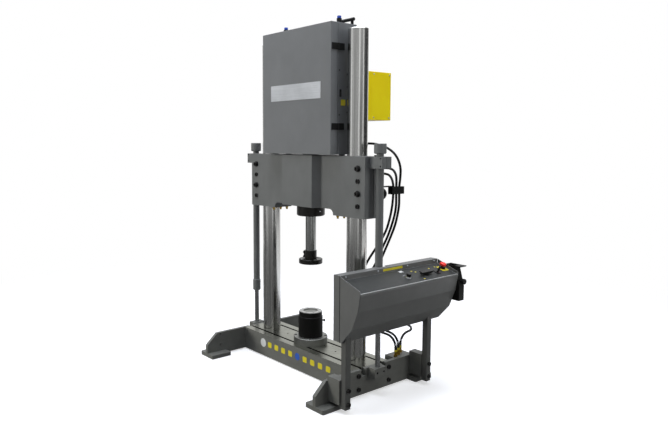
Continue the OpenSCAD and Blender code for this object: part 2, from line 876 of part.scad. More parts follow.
module stop_base() {
  color("black") on_desk(stop_at) difference() {
    union() {
      cylinder(r = 16, h = 12, $fn = 48);
      translate([0, 0, -30]) cylinder(r = 8, h = 30 + eps, $fn = 40);
    }
    translate([0, 0, -9]) cylinder(r = 5.4, h = 30, $fn = 40);
  }
}

module stop_button() {
  color("red") on_desk(stop_at) {
    translate([0, 0, 12 + stop_travel]) rotate_extrude($fn = 64) polygon([
      [0, 0], [stop_r - 2, 0], [stop_r, 2], [stop_r, stop_head * 0.5],
      [stop_r - 2, stop_head * 0.8], [stop_r - 6, stop_head * 0.95], [0, stop_head]
    ]);
    translate([0, 0, 1]) cylinder(r = 5, h = 11 + stop_travel + eps, $fn = 40);
  }
}

module selector_base() {
  color("silver") on_desk(selector_at) difference() {
    union() {
      cylinder(r1 = selector_r + 3, r2 = selector_r + 1, h = 6, $fn = 48);
      translate([0, 0, -20]) cylinder(r = 5, h = 20 + eps, $fn = 40);
    }
    translate([0, 0, -5]) cylinder(r = 3.05, h = 20, $fn = 32);
  }
}

module selector_knob() {
  color("black") on_desk(selector_at) {
    translate([0, 0, 6 + move_gap]) cylinder(r = selector_r, h = selector_height, $fn = 48);
    translate([0, 0, -4]) cylinder(r = 3, h = 10 + move_gap + eps, $fn = 32);
  }
}

module paddle_base() {
  color("black") on_desk(paddle_at) difference() {
    union() {
      rounded_slab(30, 24, 4, 3);
      translate([0, 0, -14]) cylinder(r = 10, h = 14 + eps, $fn = 40);
    }
    translate([-9, -3 - side_gap, -10]) cube([18, 6 + 2 * side_gap, 30]);
  }
}

module paddle_lever() {
  color("black") on_desk(paddle_at) {
    translate([0, -3, 0]) cube([6, 6, 14]);
    translate([3, -paddle_width / 2, 12]) cube([5, paddle_width, paddle_height - 12]);
    translate([3, 3, 1]) rotate([90, 0, 0]) cylinder(r = 4, h = 6, $fn = 32);
  }
}

module valve_base() {
  color("black") on_desk(valve_at) difference() {
    union() {
      cylinder(r = 15, h = 5, $fn = 48);
      translate([0, 0, -20]) cylinder(r = 7, h = 20 + eps, $fn = 40);
    }
    translate([0, 0, -5]) cylinder(r = 5.05, h = 20, $fn = 40);
  }
}

module valve_handle() {
  color("black") on_desk(valve_at) {
    translate([0, 0, -4]) cylinder(r = 5, h = valve_stem + 4, $fn = 40);
    translate([-valve_bar_width / 2, -valve_bar / 2, valve_stem - eps]) cube([valve_bar_width, valve_bar, 4]);
    translate([-valve_bar_width * 0.3, -valve_bar * 0.46, 6])
      cube([valve_bar_width * 0.6, valve_bar * 0.92, valve_stem - 6]);
  }
}

// Outline of the handset holder in X and Z
module holder_outline(inset) {
  right = holder_x + holder_width - inset;
  polygon([
    [holder_x + inset, holder_top - holder_height + inset],
    [right, holder_top - holder_height + inset],
    [right, holder_top - 103],
    [right - 26, holder_top - 12],
    [right - 26, holder_top + (inset > 0 ? 1 : 0)],
    [holder_x + inset, holder_top + (inset > 0 ? 1 : 0)]
  ]);
}

module handset_holder() {
  wall = 3;
  color("black") difference() {
    union() {
      translate([0, holder_y + holder_depth, 0]) rotate([90, 0, 0])
        linear_extrude(holder_depth) holder_outline(0);
      box(
        [holder_x - 6, holder_y, holder_top - 5],
        [holder_x + holder_width + 4, holder_y + holder_depth + 10, holder_top]
      );
    }
    translate([0, holder_y + holder_depth - wall, 0]) rotate([90, 0, 0])
      linear_extrude(holder_depth - 2 * wall) holder_outline(wall);
    translate(holder_knob_at) rotate([0, 90, 0])
      translate([0, 0, -20]) cylinder(r = 5 + piston_fit, h = 30, $fn = 32);
  }
}

module holder_knob() {
  color("black") translate(holder_knob_at) rotate([0, 90, 0]) {
    translate([0, 0, -16]) cylinder(r = 5, h = 20 + eps, $fn = 32);
    translate([0, 0, 4]) cylinder(r = holder_knob_r, h = 15, $fn = 48);
  }
}

// ---- crosshead

module clamp_slit() {
  box([clamp_mouth - 2, -slit_width / 2, crosshead_base - 1], [half_cross + 1, slit_width / 2, crosshead_top + 1]);
}

module crosshead() {
  color("gray") difference() {
    union() {
      rotate([90, 0, 0]) translate([0, 0, -half_depth]) linear_extrude(crosshead_depth)
        difference() {
          translate([-half_cross, crosshead_base]) square([2 * half_cross, crosshead_height]);
          translate([-recess_half, crosshead_base - 1]) square([2 * recess_half, crosshead_rise - recess_corner + 1]);
          translate([-recess_half + recess_corner, crosshead_base - 1])
            square([2 * (recess_half - recess_corner), crosshead_rise + 1]);
          for (side = [-1, 1])
            translate([side * (recess_half - recess_corner), middle_base - recess_corner])
              circle(r = recess_corner, $fn = 64);
        }
      translate([0, 0, middle_base]) linear_extrude(crosshead_top - middle_base) mirrored_y()
        polygon([
          [-housing_root, 0], [-housing_root, half_depth], [-housing_half, housing_front],
          [housing_half, housing_front], [housing_root, half_depth], [housing_root, 0]
        ]);
    }
    mirrored_x() {
      translate([column_x, 0, crosshead_base - 1])
        cylinder(r = column_r + column_fit, h = crosshead_height + 2, $fn = 128);
      clamp_slit();
      for (i = [0 : 3])
        translate([clamp_bolt_x, half_depth + 1, bolt_top - i * clamp_bolt_pitch])
          rotate([90, 0, 0]) cylinder(r = 8 + seat, h = crosshead_depth + 2, $fn = 32);
      for (z = [crosshead_top - 14, bracket_base + 14])
        translate([half_cross - 14, 0, z])
          rotate([0, 90, 0]) cylinder(r = 5, h = 20, $fn = 32);
    }
    translate([0, 0, crosshead_base]) cylinder(r = barrel_dia / 2 + seat, h = crosshead_height + 1, $fn = 96);
    for (at = plug_at)
      translate([at[0], at[1], crosshead_base - 1]) cylinder(r = 5 + seat, h = 12, $fn = 32);
  }
}

module plug_fittings() {
  color("goldenrod") for (at = plug_at)
    translate([at[0], at[1], crosshead_base]) {
      translate([0, 0, -eps]) cylinder(r = 5, h = 10, $fn = 32);
      translate([0, 0, -9]) cylinder(r = 8, h = 9, $fn = 6);
      translate([0, 0, -18]) cylinder(r = 5.5, h = 9 + eps, $fn = 32);
    }
}

module clamp_bolts() {
  color("black") mirrored_x() for (i = [0 : 3])
    translate([clamp_bolt_x, -half_depth, bolt_top - i * clamp_bolt_pitch]) rotate([90, 0, 0])
      if (i % 2 == 0) {
        cylinder(r = clamp_washer_r, h = clamp_washer, $fn = 48);
        translate([0, 0, clamp_washer - eps]) cap_screw(clamp_head_r, clamp_head, 8, crosshead_depth * 0.8);
      } else
        cap_screw(clamp_screw_r, clamp_head * 0.6, 8, crosshead_depth * 0.8);
}

module bracket() {
  difference() {
    box(
      [half_cross, -bracket_depth / 2, bracket_base],
      [bracket_end, bracket_depth / 2, crosshead_top]
    );
    translate([lift_x, 0, bracket_base - 1])
      cylinder(r = lift_tube_dia / 2 + seat, h = bracket_height + 2, $fn = 64);
    box([lift_x, -slit_width / 4, bracket_base - 1], [bracket_end + 1, slit_width / 4, crosshead_top + 1]);
    for (z = [crosshead_top - 9, bracket_base + 11])
      translate([bracket_end - 9, -bracket_depth / 2 - 1, z])
        rotate([-90, 0, 0]) cylinder(r = 4.5, h = 9, $fn = 32);
  }
}

module left_bracket() {
  color("gray") mirror([1, 0, 0]) bracket();
}

module right_bracket() {
  color("gray") bracket();
}

module lift_tube() {
  wall_r = lift_tube_dia / 2;
  translate([lift_x, 0, 0]) rotate_extrude($fn = 64) polygon([
    [lift_rod_dia / 2 + rod_fit, gland_base + 2], [lift_rod_dia / 2 + 3, gland_base],
    [gland_dia / 2 - 4, gland_base], [gland_dia / 2, gland_base + 4],
    [gland_dia / 2, gland_base + gland_height - 3], [gland_dia / 2 - 3, gland_base + gland_height],
    [wall_r, gland_base + gland_height], [wall_r, crosshead_top],
    [lift_tube_bore / 2, crosshead_top], [lift_tube_bore / 2, gland_base + 40],
    [lift_rod_dia / 2 + rod_fit, gland_base + 36]
  ]);
}

module left_lift_tube() {
  color("gray") mirror([1, 0, 0]) lift_tube();
}

module right_lift_tube() {
  color("gray") lift_tube();
}

module lift_caps() {
  cap_r = cap_dia / 2;
  color("gray") mirrored_x() translate([lift_x, 0, crosshead_top]) rotate_extrude($fn = 64) polygon([
    [0, 0], [neck_dia / 2, 0], [neck_dia / 2, neck_height], [cap_r - 4, neck_height],
    [cap_r, neck_height + 5], [cap_r, neck_height + cap_height - 1.5],
    [cap_r - 1.5, neck_height + cap_height], [0, neck_height + cap_height]
  ]);
}

// ---- actuator

module end_ring() {
  color("black") difference() {
    translate([0, 0, end_ring_base]) rotate_extrude($fn = 128) polygon([
      [0, 0], [end_ring_dia / 2 - 5, 0], [end_ring_dia / 2, 5],
      [end_ring_dia / 2, end_ring_height], [0, end_ring_height]
    ]);
    translate([0, 0, end_ring_base - 1])
      cylinder(r = piston_dia / 2 + piston_fit, h = end_ring_height + 2, $fn = 96);
  }
}

module actuator_body() {
  color("gray") difference() {
    union() {
      translate([0, 0, middle_base]) cylinder(r = barrel_dia / 2, h = drive_base - middle_base, $fn = 96);
      translate([0, 0, drive_base - eps]) cylinder(r = drive_dia / 2, h = drive_cap - drive_base, $fn = 96);
    }
    translate([0, 0, middle_base - 1])
      cylinder(r = piston_dia / 2 + piston_fit, h = rod_top + 120 - middle_base, $fn = 96);
    translate([0, 0, rod_top]) cylinder(r = shaft_dia / 2 + piston_fit, h = drive_cap - rod_top + 1, $fn = 64);
  }
}

module drive_shaft() {
  color("silver") {
    translate([0, 0, spline_base]) cylinder(r = shaft_dia / 2, h = drive_cap + 20 - spline_base, $fn = 64);
    translate([0, 0, drive_cap + move_gap]) cylinder(r = drive_dia * 0.34, h = 14, $fn = 64);
  }
}

module piston_rod() {
  color("silver") difference() {
    translate([0, 0, platen_base + 6]) cylinder(r = piston_dia / 2, h = rod_top - platen_base - 6, $fn = 96);
    translate([0, 0, rod_socket])
      cylinder(r = shaft_dia / 2 + piston_fit, h = rod_top - rod_socket + 1, $fn = 64);
  }
}

module rod_collar() {
  ear = collar_dia / 2;
  color("black") {
    difference() {
      union() {
        translate([0, 0, collar_base]) cylinder(r = collar_dia / 2, h = collar_height, $fn = 96);
        rotate([0, 0, 200]) box([20, -9, collar_base + 4], [ear + 7, 9, collar_base + collar_height - 4]);
      }
      translate([0, 0, collar_base - 1])
        cylinder(r = piston_dia / 2 + seat, h = collar_height + 2, $fn = 96);
      rotate([0, 0, 200]) box([20, -1, collar_base - 1], [ear + 12, 1, collar_base + collar_height + 1]);
    }
  }
}

module platen() {
  color("black") difference() {
    translate([0, 0, platen_base]) rotate_extrude($fn = 128) polygon([
      [0, 0], [platen_dia / 2 - 2, 0], [platen_dia / 2, 2],
      [platen_dia / 2, platen_thickness - 2], [platen_dia / 2 - 2, platen_thickness],
      [0, platen_thickness]
    ]);
    translate([0, 0, platen_base + 6]) cylinder(r = piston_dia / 2 + seat, h = platen_thickness, $fn = 96);
    for (i = [0 : platen_holes_count - 1])
      rotate([0, 0, i * 360 / platen_holes_count]) translate([platen_pcd / 2, 0, platen_base - 1])
        cylinder(r = platen_hole_r, h = platen_thickness + 2, $fn = 32);
  }
}

// ---- cabinet

module cabinet_shell() {
  color("gray") {
    difference() {
      box([-half_cabinet, seam_y, cabinet_base], [half_cabinet, cabinet_back, cabinet_top]);
      box(
        [-half_cabinet + sheet, seam_y - 1, cabinet_base + sheet],
        [half_cabinet - sheet, cabinet_back - sheet, cabinet_top - sheet]
      );
      translate([0, 0, cabinet_base - 1]) cylinder(r = barrel_dia / 2 + 3, h = sheet + 2, $fn = 96);
      // latch slot on the console side
      box(
        [half_cabinet - sheet - 1, seam_y + 12, cabinet_base + 284],
        [half_cabinet + 1, seam_y + 12 + latch_width, cabinet_base + 284 + latch_length]
      );
    }
    // spacers between the cabinet and the crosshead
    for (x = [59.5 - half_cabinet, half_cabinet - 59.5])
      translate([x, 20, crosshead_top]) cylinder(r = 16, h = cabinet_gap + eps, $fn = 40);
  }
}

module cabinet_door() {
  low = cabinet_base;
  color("gray") difference() {
    box([-half_cabinet, door_front, low], [half_cabinet, seam_y - seam_gap, cabinet_top]);
    box(
      [-half_cabinet + sheet, door_front + sheet, low + sheet],
      [half_cabinet - sheet, seam_y, cabinet_top - sheet]
    );
  }
}

module hinge_barrel(z, height) {
  translate([hinge_x, hinge_y, z]) cylinder(r = knuckle_r, h = height, $fn = 40);
}

// Leaf and outer knuckles on the cabinet, with the hinge pin
module hinge_leaves() {
  color("black") for (middle = [hinge_low, hinge_high]) {
    low = cabinet_base + middle - hinge_height / 2;
    third = hinge_height / 3;
    difference() {
      union() {
        box(
          [half_cabinet, hinge_y + knuckle_r * 0.2, low],
          [half_cabinet + hinge_thickness, hinge_y + hinge_leaf, low + hinge_height]
        );
        hinge_barrel(low, third);
        hinge_barrel(low + 2 * third, third);
      }
      translate([hinge_x, hinge_y, low + third])
        cylinder(r = knuckle_r + move_gap, h = third, $fn = 40);
    }
    hinge_pin(low, hinge_height);
  }
}

module hinge_pin(z, height) {
  translate([hinge_x, hinge_y, z + 1]) cylinder(r = 2, h = height - 2, $fn = 32);
}

// Leaf and middle knuckle on the door
module door_leaves() {
  color("black") for (middle = [hinge_low, hinge_high]) {
    low = cabinet_base + middle - hinge_height / 2;
    third = hinge_height / 3;
    difference() {
      union() {
        box(
          [half_cabinet, hinge_y - hinge_leaf, low],
          [half_cabinet + hinge_thickness, hinge_y - knuckle_r * 0.2, low + hinge_height]
        );
        hinge_barrel(low + third + move_gap, third - 2 * move_gap);
      }
      translate([hinge_x, hinge_y, low - 1]) cylinder(r = 2.05, h = hinge_height + 2, $fn = 32);
      for (z = [low - 1, low + 2 * third - move_gap])
        translate([hinge_x, hinge_y, z])
          cylinder(r = knuckle_r + move_gap, h = third + 1 + move_gap, $fn = 40);
    }
  }
}

module hose_ports() {
  rear = hose_a_route[0];
  color("black") {
    mirrored_x() translate([port_x, 0, cabinet_top]) {
      cylinder(r = port_base_r, h = port_base, $fn = 48);
      translate([0, 0, port_base - eps]) cylinder(r = port_cap_r, h = port_cap, $fn = 48);
    }
    translate([rear[0], cabinet_back, table_top + rear[2]])
      rotate([-90, 0, 0]) cylinder(r = hose_dia / 2 + 3, h = rear[1] - cabinet_back - hose_gap, $fn = 40);
  }
}

module top_handle() {
  bar_z = cabinet_top + 27;
  bar_y = cabinet_back - 15;
  right = half_cabinet - 4;
  color("black") {
    translate([right - 104, bar_y, bar_z]) rotate([0, 90, 0])
      cylinder(r = handle_bar_dia / 2, h = 104, $fn = 40);
    for (x = [right - 96, right - 18])
      box([x, bar_y - 6, cabinet_top], [x + 10, bar_y + 6, bar_z]);
  }
}

module drive_cover() {
  right = half_cabinet;
  low = cabinet_base + cover_rise;
  color("gold") difference() {
    box([right - cover_width, cabinet_back, low], [right, cabinet_back + cover_depth, low + cover_height]);
    box(
      [right - cover_width + 3, cabinet_back - 1, low + 3],
      [right - 3, cabinet_back + cover_depth - 3, low + cover_height - 3]
    );
  }
}

// Valve block behind the crosshead, with its hose ports and the accumulator
module valve_manifold() {
  back = half_depth + 24;
  color("black") {
    box([valve_x, half_depth, valve_base], [valve_x + valve_width, back, valve_base + valve_height]);
    for (port = [hose_b_route[0], hose_c_route[0]])
      translate([port[0], back - eps, table_top + port[2]])
        rotate([-90, 0, 0]) cylinder(r = hose_dia / 2 + 3, h = port[1] - back - hose_gap, $fn = 40);
    translate([accumulator_at[0], half_depth, accumulator_at[2]])
      rotate([-90, 0, 0]) cylinder(r = 11, h = 40, $fn = 40);
    translate(accumulator_at) sphere(r = accumulator_r, $fn = 64);
  }
}

// Arm behind the crosshead that holds the three hoses
module hose_clamp() {
  color("black") {
    box([arm_x, half_depth, arm_z - 34], [half_cross, half_depth + 6, arm_z]);
    box([arm_x, half_depth, arm_z - 5], [half_cross + 4, half_depth + 70, arm_z]);
    difference() {
      box([clamp_x - 15, half_depth + 60, arm_z - 42], [clamp_x + 15, half_depth + 146, arm_z - 5]);
      for (route = [hose_a_route, hose_b_route, hose_c_route])
        translate([clamp_x, clamp_y(route), arm_z - 60]) cylinder(r = hose_dia / 2 + 0.6, h = 80, $fn = 40);
    }
    translate([clamp_x, half_depth + 146 - eps, arm_z - 24]) rotate([-90, 0, 0]) cylinder(r = 3, h = 10, $fn = 32);
  }
}

// Where a route passes through the clamp
function clamp_y(route) = [for (point = route) if (point[2] == 840) point[1]][0];

// ---- hoses

function point_between(p, q, r, s, t) =
  0.5 * ((2 * q) + (r - p) * t + (2 * p - 5 * q + 4 * r - s) * t * t + (3 * q - p - 3 * r + s) * t * t * t);

function on_route(route, u) =
  let (
    last = len(route) - 1,
    i = min(floor(u), last - 1)
  )
  point_between(route[max(i - 1, 0)], route[i], route[i + 1], route[min(i + 2, last)], u - i);

// Direction of a route at u
function way_at(route, u) =
  let (
    step = 0.05,
    last = len(route) - 1,
    ahead = on_route(route, min(u + step, last)) - on_route(route, max(u - step, 0))
  )
  ahead / norm(ahead);

// The part of a side vector that is square to a direction, one long
function squared(side, way) =
  let (flat = side - (side * way) * way)
  flat / norm(flat);

function ring_points(middle, side, up, r) =
  [for (k = [0 : hose_sides - 1])
    middle + r * (cos(k * 360 / hose_sides) * side + sin(k * 360 / hose_sides) * up)];

// Rings along a route from ring j on; the side vector is carried along without twist
function rings_from(route, j, side) =
  let (
    u = j * (len(route) - 1) / (hose_rings - 1),
    way = way_at(route, u),
    carried = squared(side, way),
    ring = ring_points(on_route(route, u), carried, cross(carried, way), hose_dia / 2)
  )
  j == hose_rings - 1 ? [ring] : concat([ring], rings_from(route, j + 1, carried));

module hose(route) {
  points = [for (ring = rings_from(route, 0, [0, 0, 1])) for (p = ring) p];
  walls = [
    for (j = [0 : hose_rings - 2])
      for (k = [0 : hose_sides - 1])
        let (a = j * hose_sides + k, b = j * hose_sides + (k + 1) % hose_sides)
          [a, b, b + hose_sides, a + hose_sides]
  ];
  start = [for (k = [hose_sides - 1 : -1 : 0]) k];
  finish = [for (k = [0 : hose_sides - 1]) (hose_rings - 1) * hose_sides + k];
  color("black") polyhedron(points, concat(walls, [start, finish]));
}

module hose_a() {
  hose(hose_a_route);
}

module hose_b() {
  hose(hose_b_route);
}

module hose_c() {
  hose(hose_c_route);
}

from_floor() base_table();
from_floor() left_side_plate();
from_floor() right_side_plate();
from_floor() foot_pads();
from_floor() side_plate_bolts();
from_floor() left_column();
from_floor() right_column();
from_floor() left_lift_block();
from_floor() right_lift_block();
from_floor() left_lift_rod();
from_floor() right_lift_rod();
from_floor() cell_flange();
from_floor() flange_bolts();
from_floor() load_cell();
from_floor() load_cell_ring();
from_floor() front_post_block();
from_floor() rear_post_block();
from_floor() front_post();
from_floor() rear_post();
from_floor() post_bolts();
from_floor() manifold();
from_floor() hose_fittings();
from_floor() console_channel();
from_floor() console_shell();
from_floor() stop_base();
from_floor() selector_base();
from_floor() paddle_base();
from_floor() valve_base();
from_floor() handset_holder();
from_floor() stop_button();
from_floor() selector_knob();
from_floor() paddle_lever();
from_floor() valve_handle();
from_floor() holder_knob();
from_floor() crosshead();
from_floor() clamp_bolts();
from_floor() left_bracket();
from_floor() right_bracket();
from_floor() left_lift_tube();
from_floor() right_lift_tube();
from_floor() lift_caps();
from_floor() plug_fittings();
from_floor() end_ring();
from_floor() actuator_body();
from_floor() cabinet_shell();
from_floor() hinge_leaves();
from_floor() hose_ports();
from_floor() top_handle();
from_floor() drive_cover();
from_floor() valve_manifold();
from_floor() hose_clamp();
hose_a();
hose_b();
hose_c();
from_floor() cabinet_door();
from_floor() door_leaves();
from_floor() drive_shaft();
from_floor() piston_rod();
from_floor() rod_collar();
from_floor() platen();
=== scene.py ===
import math

import bmesh
import bpy
from mathutils import Matrix, Vector


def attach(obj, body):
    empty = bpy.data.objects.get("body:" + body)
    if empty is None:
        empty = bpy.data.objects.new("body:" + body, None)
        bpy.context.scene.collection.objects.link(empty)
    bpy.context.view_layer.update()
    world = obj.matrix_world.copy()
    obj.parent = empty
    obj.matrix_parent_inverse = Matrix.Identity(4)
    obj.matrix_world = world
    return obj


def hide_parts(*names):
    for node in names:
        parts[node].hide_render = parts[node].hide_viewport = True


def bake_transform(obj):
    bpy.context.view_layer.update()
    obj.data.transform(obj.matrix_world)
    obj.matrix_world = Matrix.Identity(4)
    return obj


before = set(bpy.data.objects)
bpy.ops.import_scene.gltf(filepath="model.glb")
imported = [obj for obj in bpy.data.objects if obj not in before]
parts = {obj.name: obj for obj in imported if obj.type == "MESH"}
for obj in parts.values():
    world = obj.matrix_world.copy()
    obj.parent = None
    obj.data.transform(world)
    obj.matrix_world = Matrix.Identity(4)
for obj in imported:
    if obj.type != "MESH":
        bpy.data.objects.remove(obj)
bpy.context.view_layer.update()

scene = bpy.context.scene
scene.view_settings.view_transform = "Standard"
mergeWithin = 1e-6      # metres; points nearer than this become one


def toLinear(hexText):
    channels = [int(hexText[i:i + 2], 16) / 255 for i in (1, 3, 5)]
    return [c / 12.92 if c <= 0.04045 else ((c + 0.055) / 1.055) ** 2.4 for c in channels] + [1.0]


def addNode(tree, kind, settings=None, links=None):
    # settings go to the node's own properties first, then to its sockets
    node = tree.nodes.new("ShaderNode" + kind)
    for name, value in (settings or {}).items():
        if isinstance(name, str) and hasattr(node, name):
            setattr(node, name, value)
        else:
            node.inputs[name].default_value = value
    for name, source in (links or {}).items():
        tree.links.new(source, node.inputs[name])
    return node


def makeMesh(name, points, faces, material, body, smooth=None):
    mesh = bpy.data.meshes.new(name)
    mesh.from_pydata(points, [], faces)
    work = bmesh.new()
    work.from_mesh(mesh)
    bmesh.ops.remove_doubles(work, verts=work.verts, dist=mergeWithin)
    bmesh.ops.recalc_face_normals(work, faces=work.faces)
    work.to_mesh(mesh)
    work.free()
    piece = bpy.data.objects.new(name, mesh)
    scene.collection.objects.link(piece)
    mesh.materials.append(material)
    if smooth is not None:      # faces that meet below this angle shade as one
        mesh.shade_smooth()
        mesh.set_sharp_from_angle(angle=math.radians(smooth))
    if body:
        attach(piece, body)
    return piece


def boxOf(nodeName):
    # lowest and highest corner of a piece of the model at rest, in millimetres
    axes = list(zip(*(v.co * 1000 for v in parts[nodeName].data.vertices)))
    return Vector([min(axis) for axis in axes]), Vector([max(axis) for axis in axes])


# camera, standing at the operator's right front corner

cameraPlace = {
    "spot": (2.596, -2.209, 1.104),
    "turn": 51.17,      # degrees from the front, towards the console
    "dip": 5.5,         # degrees below level
    "optics": {"sensor_width": 36, "lens": 34.12, "shift_x": 0.0604, "shift_y": -0.0148},
}

cameraData = bpy.data.cameras.new("studioCamera")
for name, value in cameraPlace["optics"].items():
    setattr(cameraData, name, value)
camera = bpy.data.objects.new("studioCamera", cameraData)
scene.collection.objects.link(camera)
camera.location = cameraPlace["spot"]
camera.rotation_euler = (math.radians(90 - cameraPlace["dip"]), 0, math.radians(cameraPlace["turn"]))
scene.camera = camera
print("camera placed")


# hoses: hydraulic hose, cut to length and crimped

hoseValues = {
    "diameter": 0.012,
    "sides": 18,
    "step": 0.006,          # metres between rings along the hose
    "stiffness": "stiff",
    "stretchFrom": 0.10,    # heights, in metres
    "stretchTo": 0.83,
}

hoseRoutes = {      # from the ports above down to the manifold, in millimetres
    "hoseFromCabinet": [
        (190, 73, 1085), (190, 88, 1085), (195, 116, 1086), (210, 142, 1089), (238, 157, 1091),
        (282, 160, 1092), (342, 152, 1088), (400, 152, 1074), (446, 158, 1048), (470, 168, 1012),
        (477, 178, 968), (470, 185, 920), (464, 186, 880), (464, 186, 840), (464, 186, 786), (456, 185, 735),
        (440, 185, 680), (414, 185, 622), (384, 187, 566), (350, 191, 506), (312, 198, 440), (278, 210, 372),
        (256, 229, 302), (246, 266, 238), (250, 308, 188), (266, 350, 149), (290, 380, 124), (319, 395, 110),
        (348, 398, 105), (373, 393, 102), (393, 379, 99), (406, 359, 96), (410, 335, 94), (410, 311, 89),
        (410, 291, 76), (410, 278, 56), (410, 273, 34), (410, 273, 20),
    ],
    "hoseFromUpperPort": [
        (348, 98, 968), (348, 118, 968), (352, 140, 968), (364, 158, 968), (383, 171, 968), (405, 176, 967),
        (428, 175, 961), (447, 171, 948), (459, 167, 930), (464, 164, 906), (464, 164, 880), (464, 164, 840),
        (463, 165, 786), (453, 166, 735), (432, 167, 676), (404, 168, 616), (370, 169, 556), (332, 171, 484),
        (296, 174, 430), (262, 180, 372), (236, 190, 306), (228, 204, 236), (244, 218, 174), (276, 229, 130),
        (306, 235, 109), (338, 236, 101), (369, 236, 98), (393, 236, 93), (413, 236, 80), (426, 236, 60),
        (431, 236, 36), (431, 236, 20),
    ],
    "hoseFromLowerPort": [
        (326, 98, 940), (326, 112, 940), (331, 134, 940), (344, 152, 940), (363, 164, 940), (386, 167, 939),
        (410, 162, 936), (431, 155, 928), (449, 148, 914), (460, 143, 896), (464, 142, 876), (464, 142, 840),
        (456, 144, 780), (438, 147, 716), (412, 150, 654), (370, 154, 592), (323, 158, 536), (268, 162, 466),
        (228, 167, 396), (206, 173, 320), (206, 180, 244), (228, 187, 176), (264, 193, 128), (300, 197, 106),
        (340, 199, 99), (384, 199, 98), (408, 199, 93), (428, 199, 80), (441, 199, 60), (446, 199, 38),
        (446, 199, 20),
    ],
}
hoseNodes = {"hoseFromCabinet": "hose_a", "hoseFromUpperPort": "hose_b", "hoseFromLowerPort": "hose_c"}


def smoothRoute(corners, step):
    # one smooth line through the corner points, returned as evenly spaced points in metres
    spots = [Vector(c) / 1000 for c in corners]
    bits = 24       # short straight bits between two corners
    fine = []
    for i in range(len(spots) - 1):
        p, q, r, s = spots[max(i - 1, 0)], spots[i], spots[i + 1], spots[min(i + 2, len(spots) - 1)]
        for k in range(bits):
            t = k / bits
            fine.append(0.5 * (2 * q + (r - p) * t + (2 * p - 5 * q + 4 * r - s) * t * t
                               + (3 * q - p - 3 * r + s) * t ** 3))
    fine.append(spots[-1])
    total = sum((b - a).length for a, b in zip(fine, fine[1:]))
    count = round(total / step)
    line, walked, target, i = [fine[0]], 0.0, total / count, 0
    while len(line) < count and i < len(fine) - 1:
        span = (fine[i + 1] - fine[i]).length
        if walked + span >= target * len(line):
            line.append(fine[i].lerp(fine[i + 1], (target * len(line) - walked) / span))
        else:
            walked += span
            i += 1
    line.append(fine[-1])
    return line


def ringsAlong(line, radii, sides):
    # rings square to a line, carried along it without twist; radii has one value for each point
    aside = Vector((0.3, 1, 0.2))       # any direction but the line's own
    points, across = [], None
    for i, spot in enumerate(line):
        way = (line[min(i + 1, len(line) - 1)] - line[max(i - 1, 0)]).normalized()
        if across is None:
            across = way.cross(aside).normalized()
        across = (across - way * across.dot(way)).normalized()
        up = way.cross(across)
        for k in range(sides):
            turn = 2 * math.pi * k / sides
            points.append(spot + radii[i] * (math.cos(turn) * across + math.sin(turn) * up))
    return points


def tubeFaces(rings, sides):
    # the wall between rings of points, and a lid at each end
    faces = []
    for j in range(rings - 1):
        for k in range(sides):
            a, b = j * sides + k, j * sides + (k + 1) % sides
            faces.append((a, b, b + sides, a + sides))
    faces.append(tuple(reversed(range(sides))))
    faces.append(tuple(range((rings - 1) * sides, rings * sides)))
    return faces


# patterns that the finishes share; sizes are in millimetres

def emptyTree(owner, output):
    owner.use_nodes = True
    tree = owner.node_tree
    tree.nodes.clear()
    return tree, addNode(tree, output).inputs["Surface"]


def emptyMaterial(name):
    material = bpy.data.materials.new(name)
    return material, *emptyTree(material, "OutputMaterial")


def startMaterial(name, colour, roughness, metallic=0.0, ior=None, shine=None):
    material, tree, surface = emptyMaterial(name)
    shader = addNode(tree, "BsdfPrincipled", {
        "Base Color": toLinear(colour), "Roughness": roughness, "Metallic": metallic})
    if ior is not None:
        shader.inputs["IOR"].default_value = ior
    if shine is not None:
        shader.inputs["Specular IOR Level"].default_value = shine
    tree.links.new(shader.outputs[0], surface)
    place = addNode(tree, "TexCoord").outputs["Object"]
    return material, tree, shader, place


def grain(tree, place, size, stretch=(1, 1, 1), detail=3, roughness=0.55):
    # a noise whose blobs are about size across, drawn out along an axis where stretch is above 1
    scaled = addNode(tree, "Mapping", {"Scale": [1 / s for s in stretch]}, {"Vector": place})
    return addNode(tree, "TexNoise", {"Scale": 1000 / size, "Detail": detail, "Roughness": roughness},
                   {"Vector": scaled.outputs[0]}).outputs[0]


def tint(tree, shader, factor, colours, stops=(0.3, 0.7), socket="Base Color"):
    ramp = addNode(tree, "ValToRGB", {}, {"Fac": factor})
    for element, stop, colour in zip(ramp.color_ramp.elements, stops, colours):
        element.position = stop
        element.color = toLinear(colour)
    if shader:
        tree.links.new(ramp.outputs[0], shader.inputs[socket])
    return ramp.outputs[0]


def vary(tree, factor, low, high, stops=(0.3, 0.7)):
    limits = {"From Min": stops[0], "From Max": stops[1], "To Min": low, "To Max": high}
    return addNode(tree, "MapRange", limits, {"Value": factor}).outputs[0]


def roughen(tree, shader, factor, low, high):
    tree.links.new(vary(tree, factor, low, high), shader.inputs["Roughness"])


def calc(tree, operation, first, second):
    settings = {"operation": operation}
    links = {}
    for slot, value in ((0, first), (1, second)):
        if isinstance(value, (int, float)):
            settings[slot] = value
        else:
            links[slot] = value
    return addNode(tree, "Math", settings, links).outputs[0]


def blendOf(tree, first, second, share):
    # a sum of two patterns, in which the first has this share
    return calc(tree, "ADD", calc(tree, "MULTIPLY", first, share), calc(tree, "MULTIPLY", second, 1 - share))


def mixColour(tree, factor, first, second):
    node = addNode(tree, "Mix", {"data_type": "RGBA"})
    for slot, value in (("Factor", factor), ("A", first), ("B", second)):
        socket = next(s for s in node.inputs if s.name == slot and s.enabled)
        if isinstance(value, str):
            socket.default_value = toLinear(value)
        else:
            tree.links.new(value, socket)
    return next(s for s in node.outputs if s.enabled)


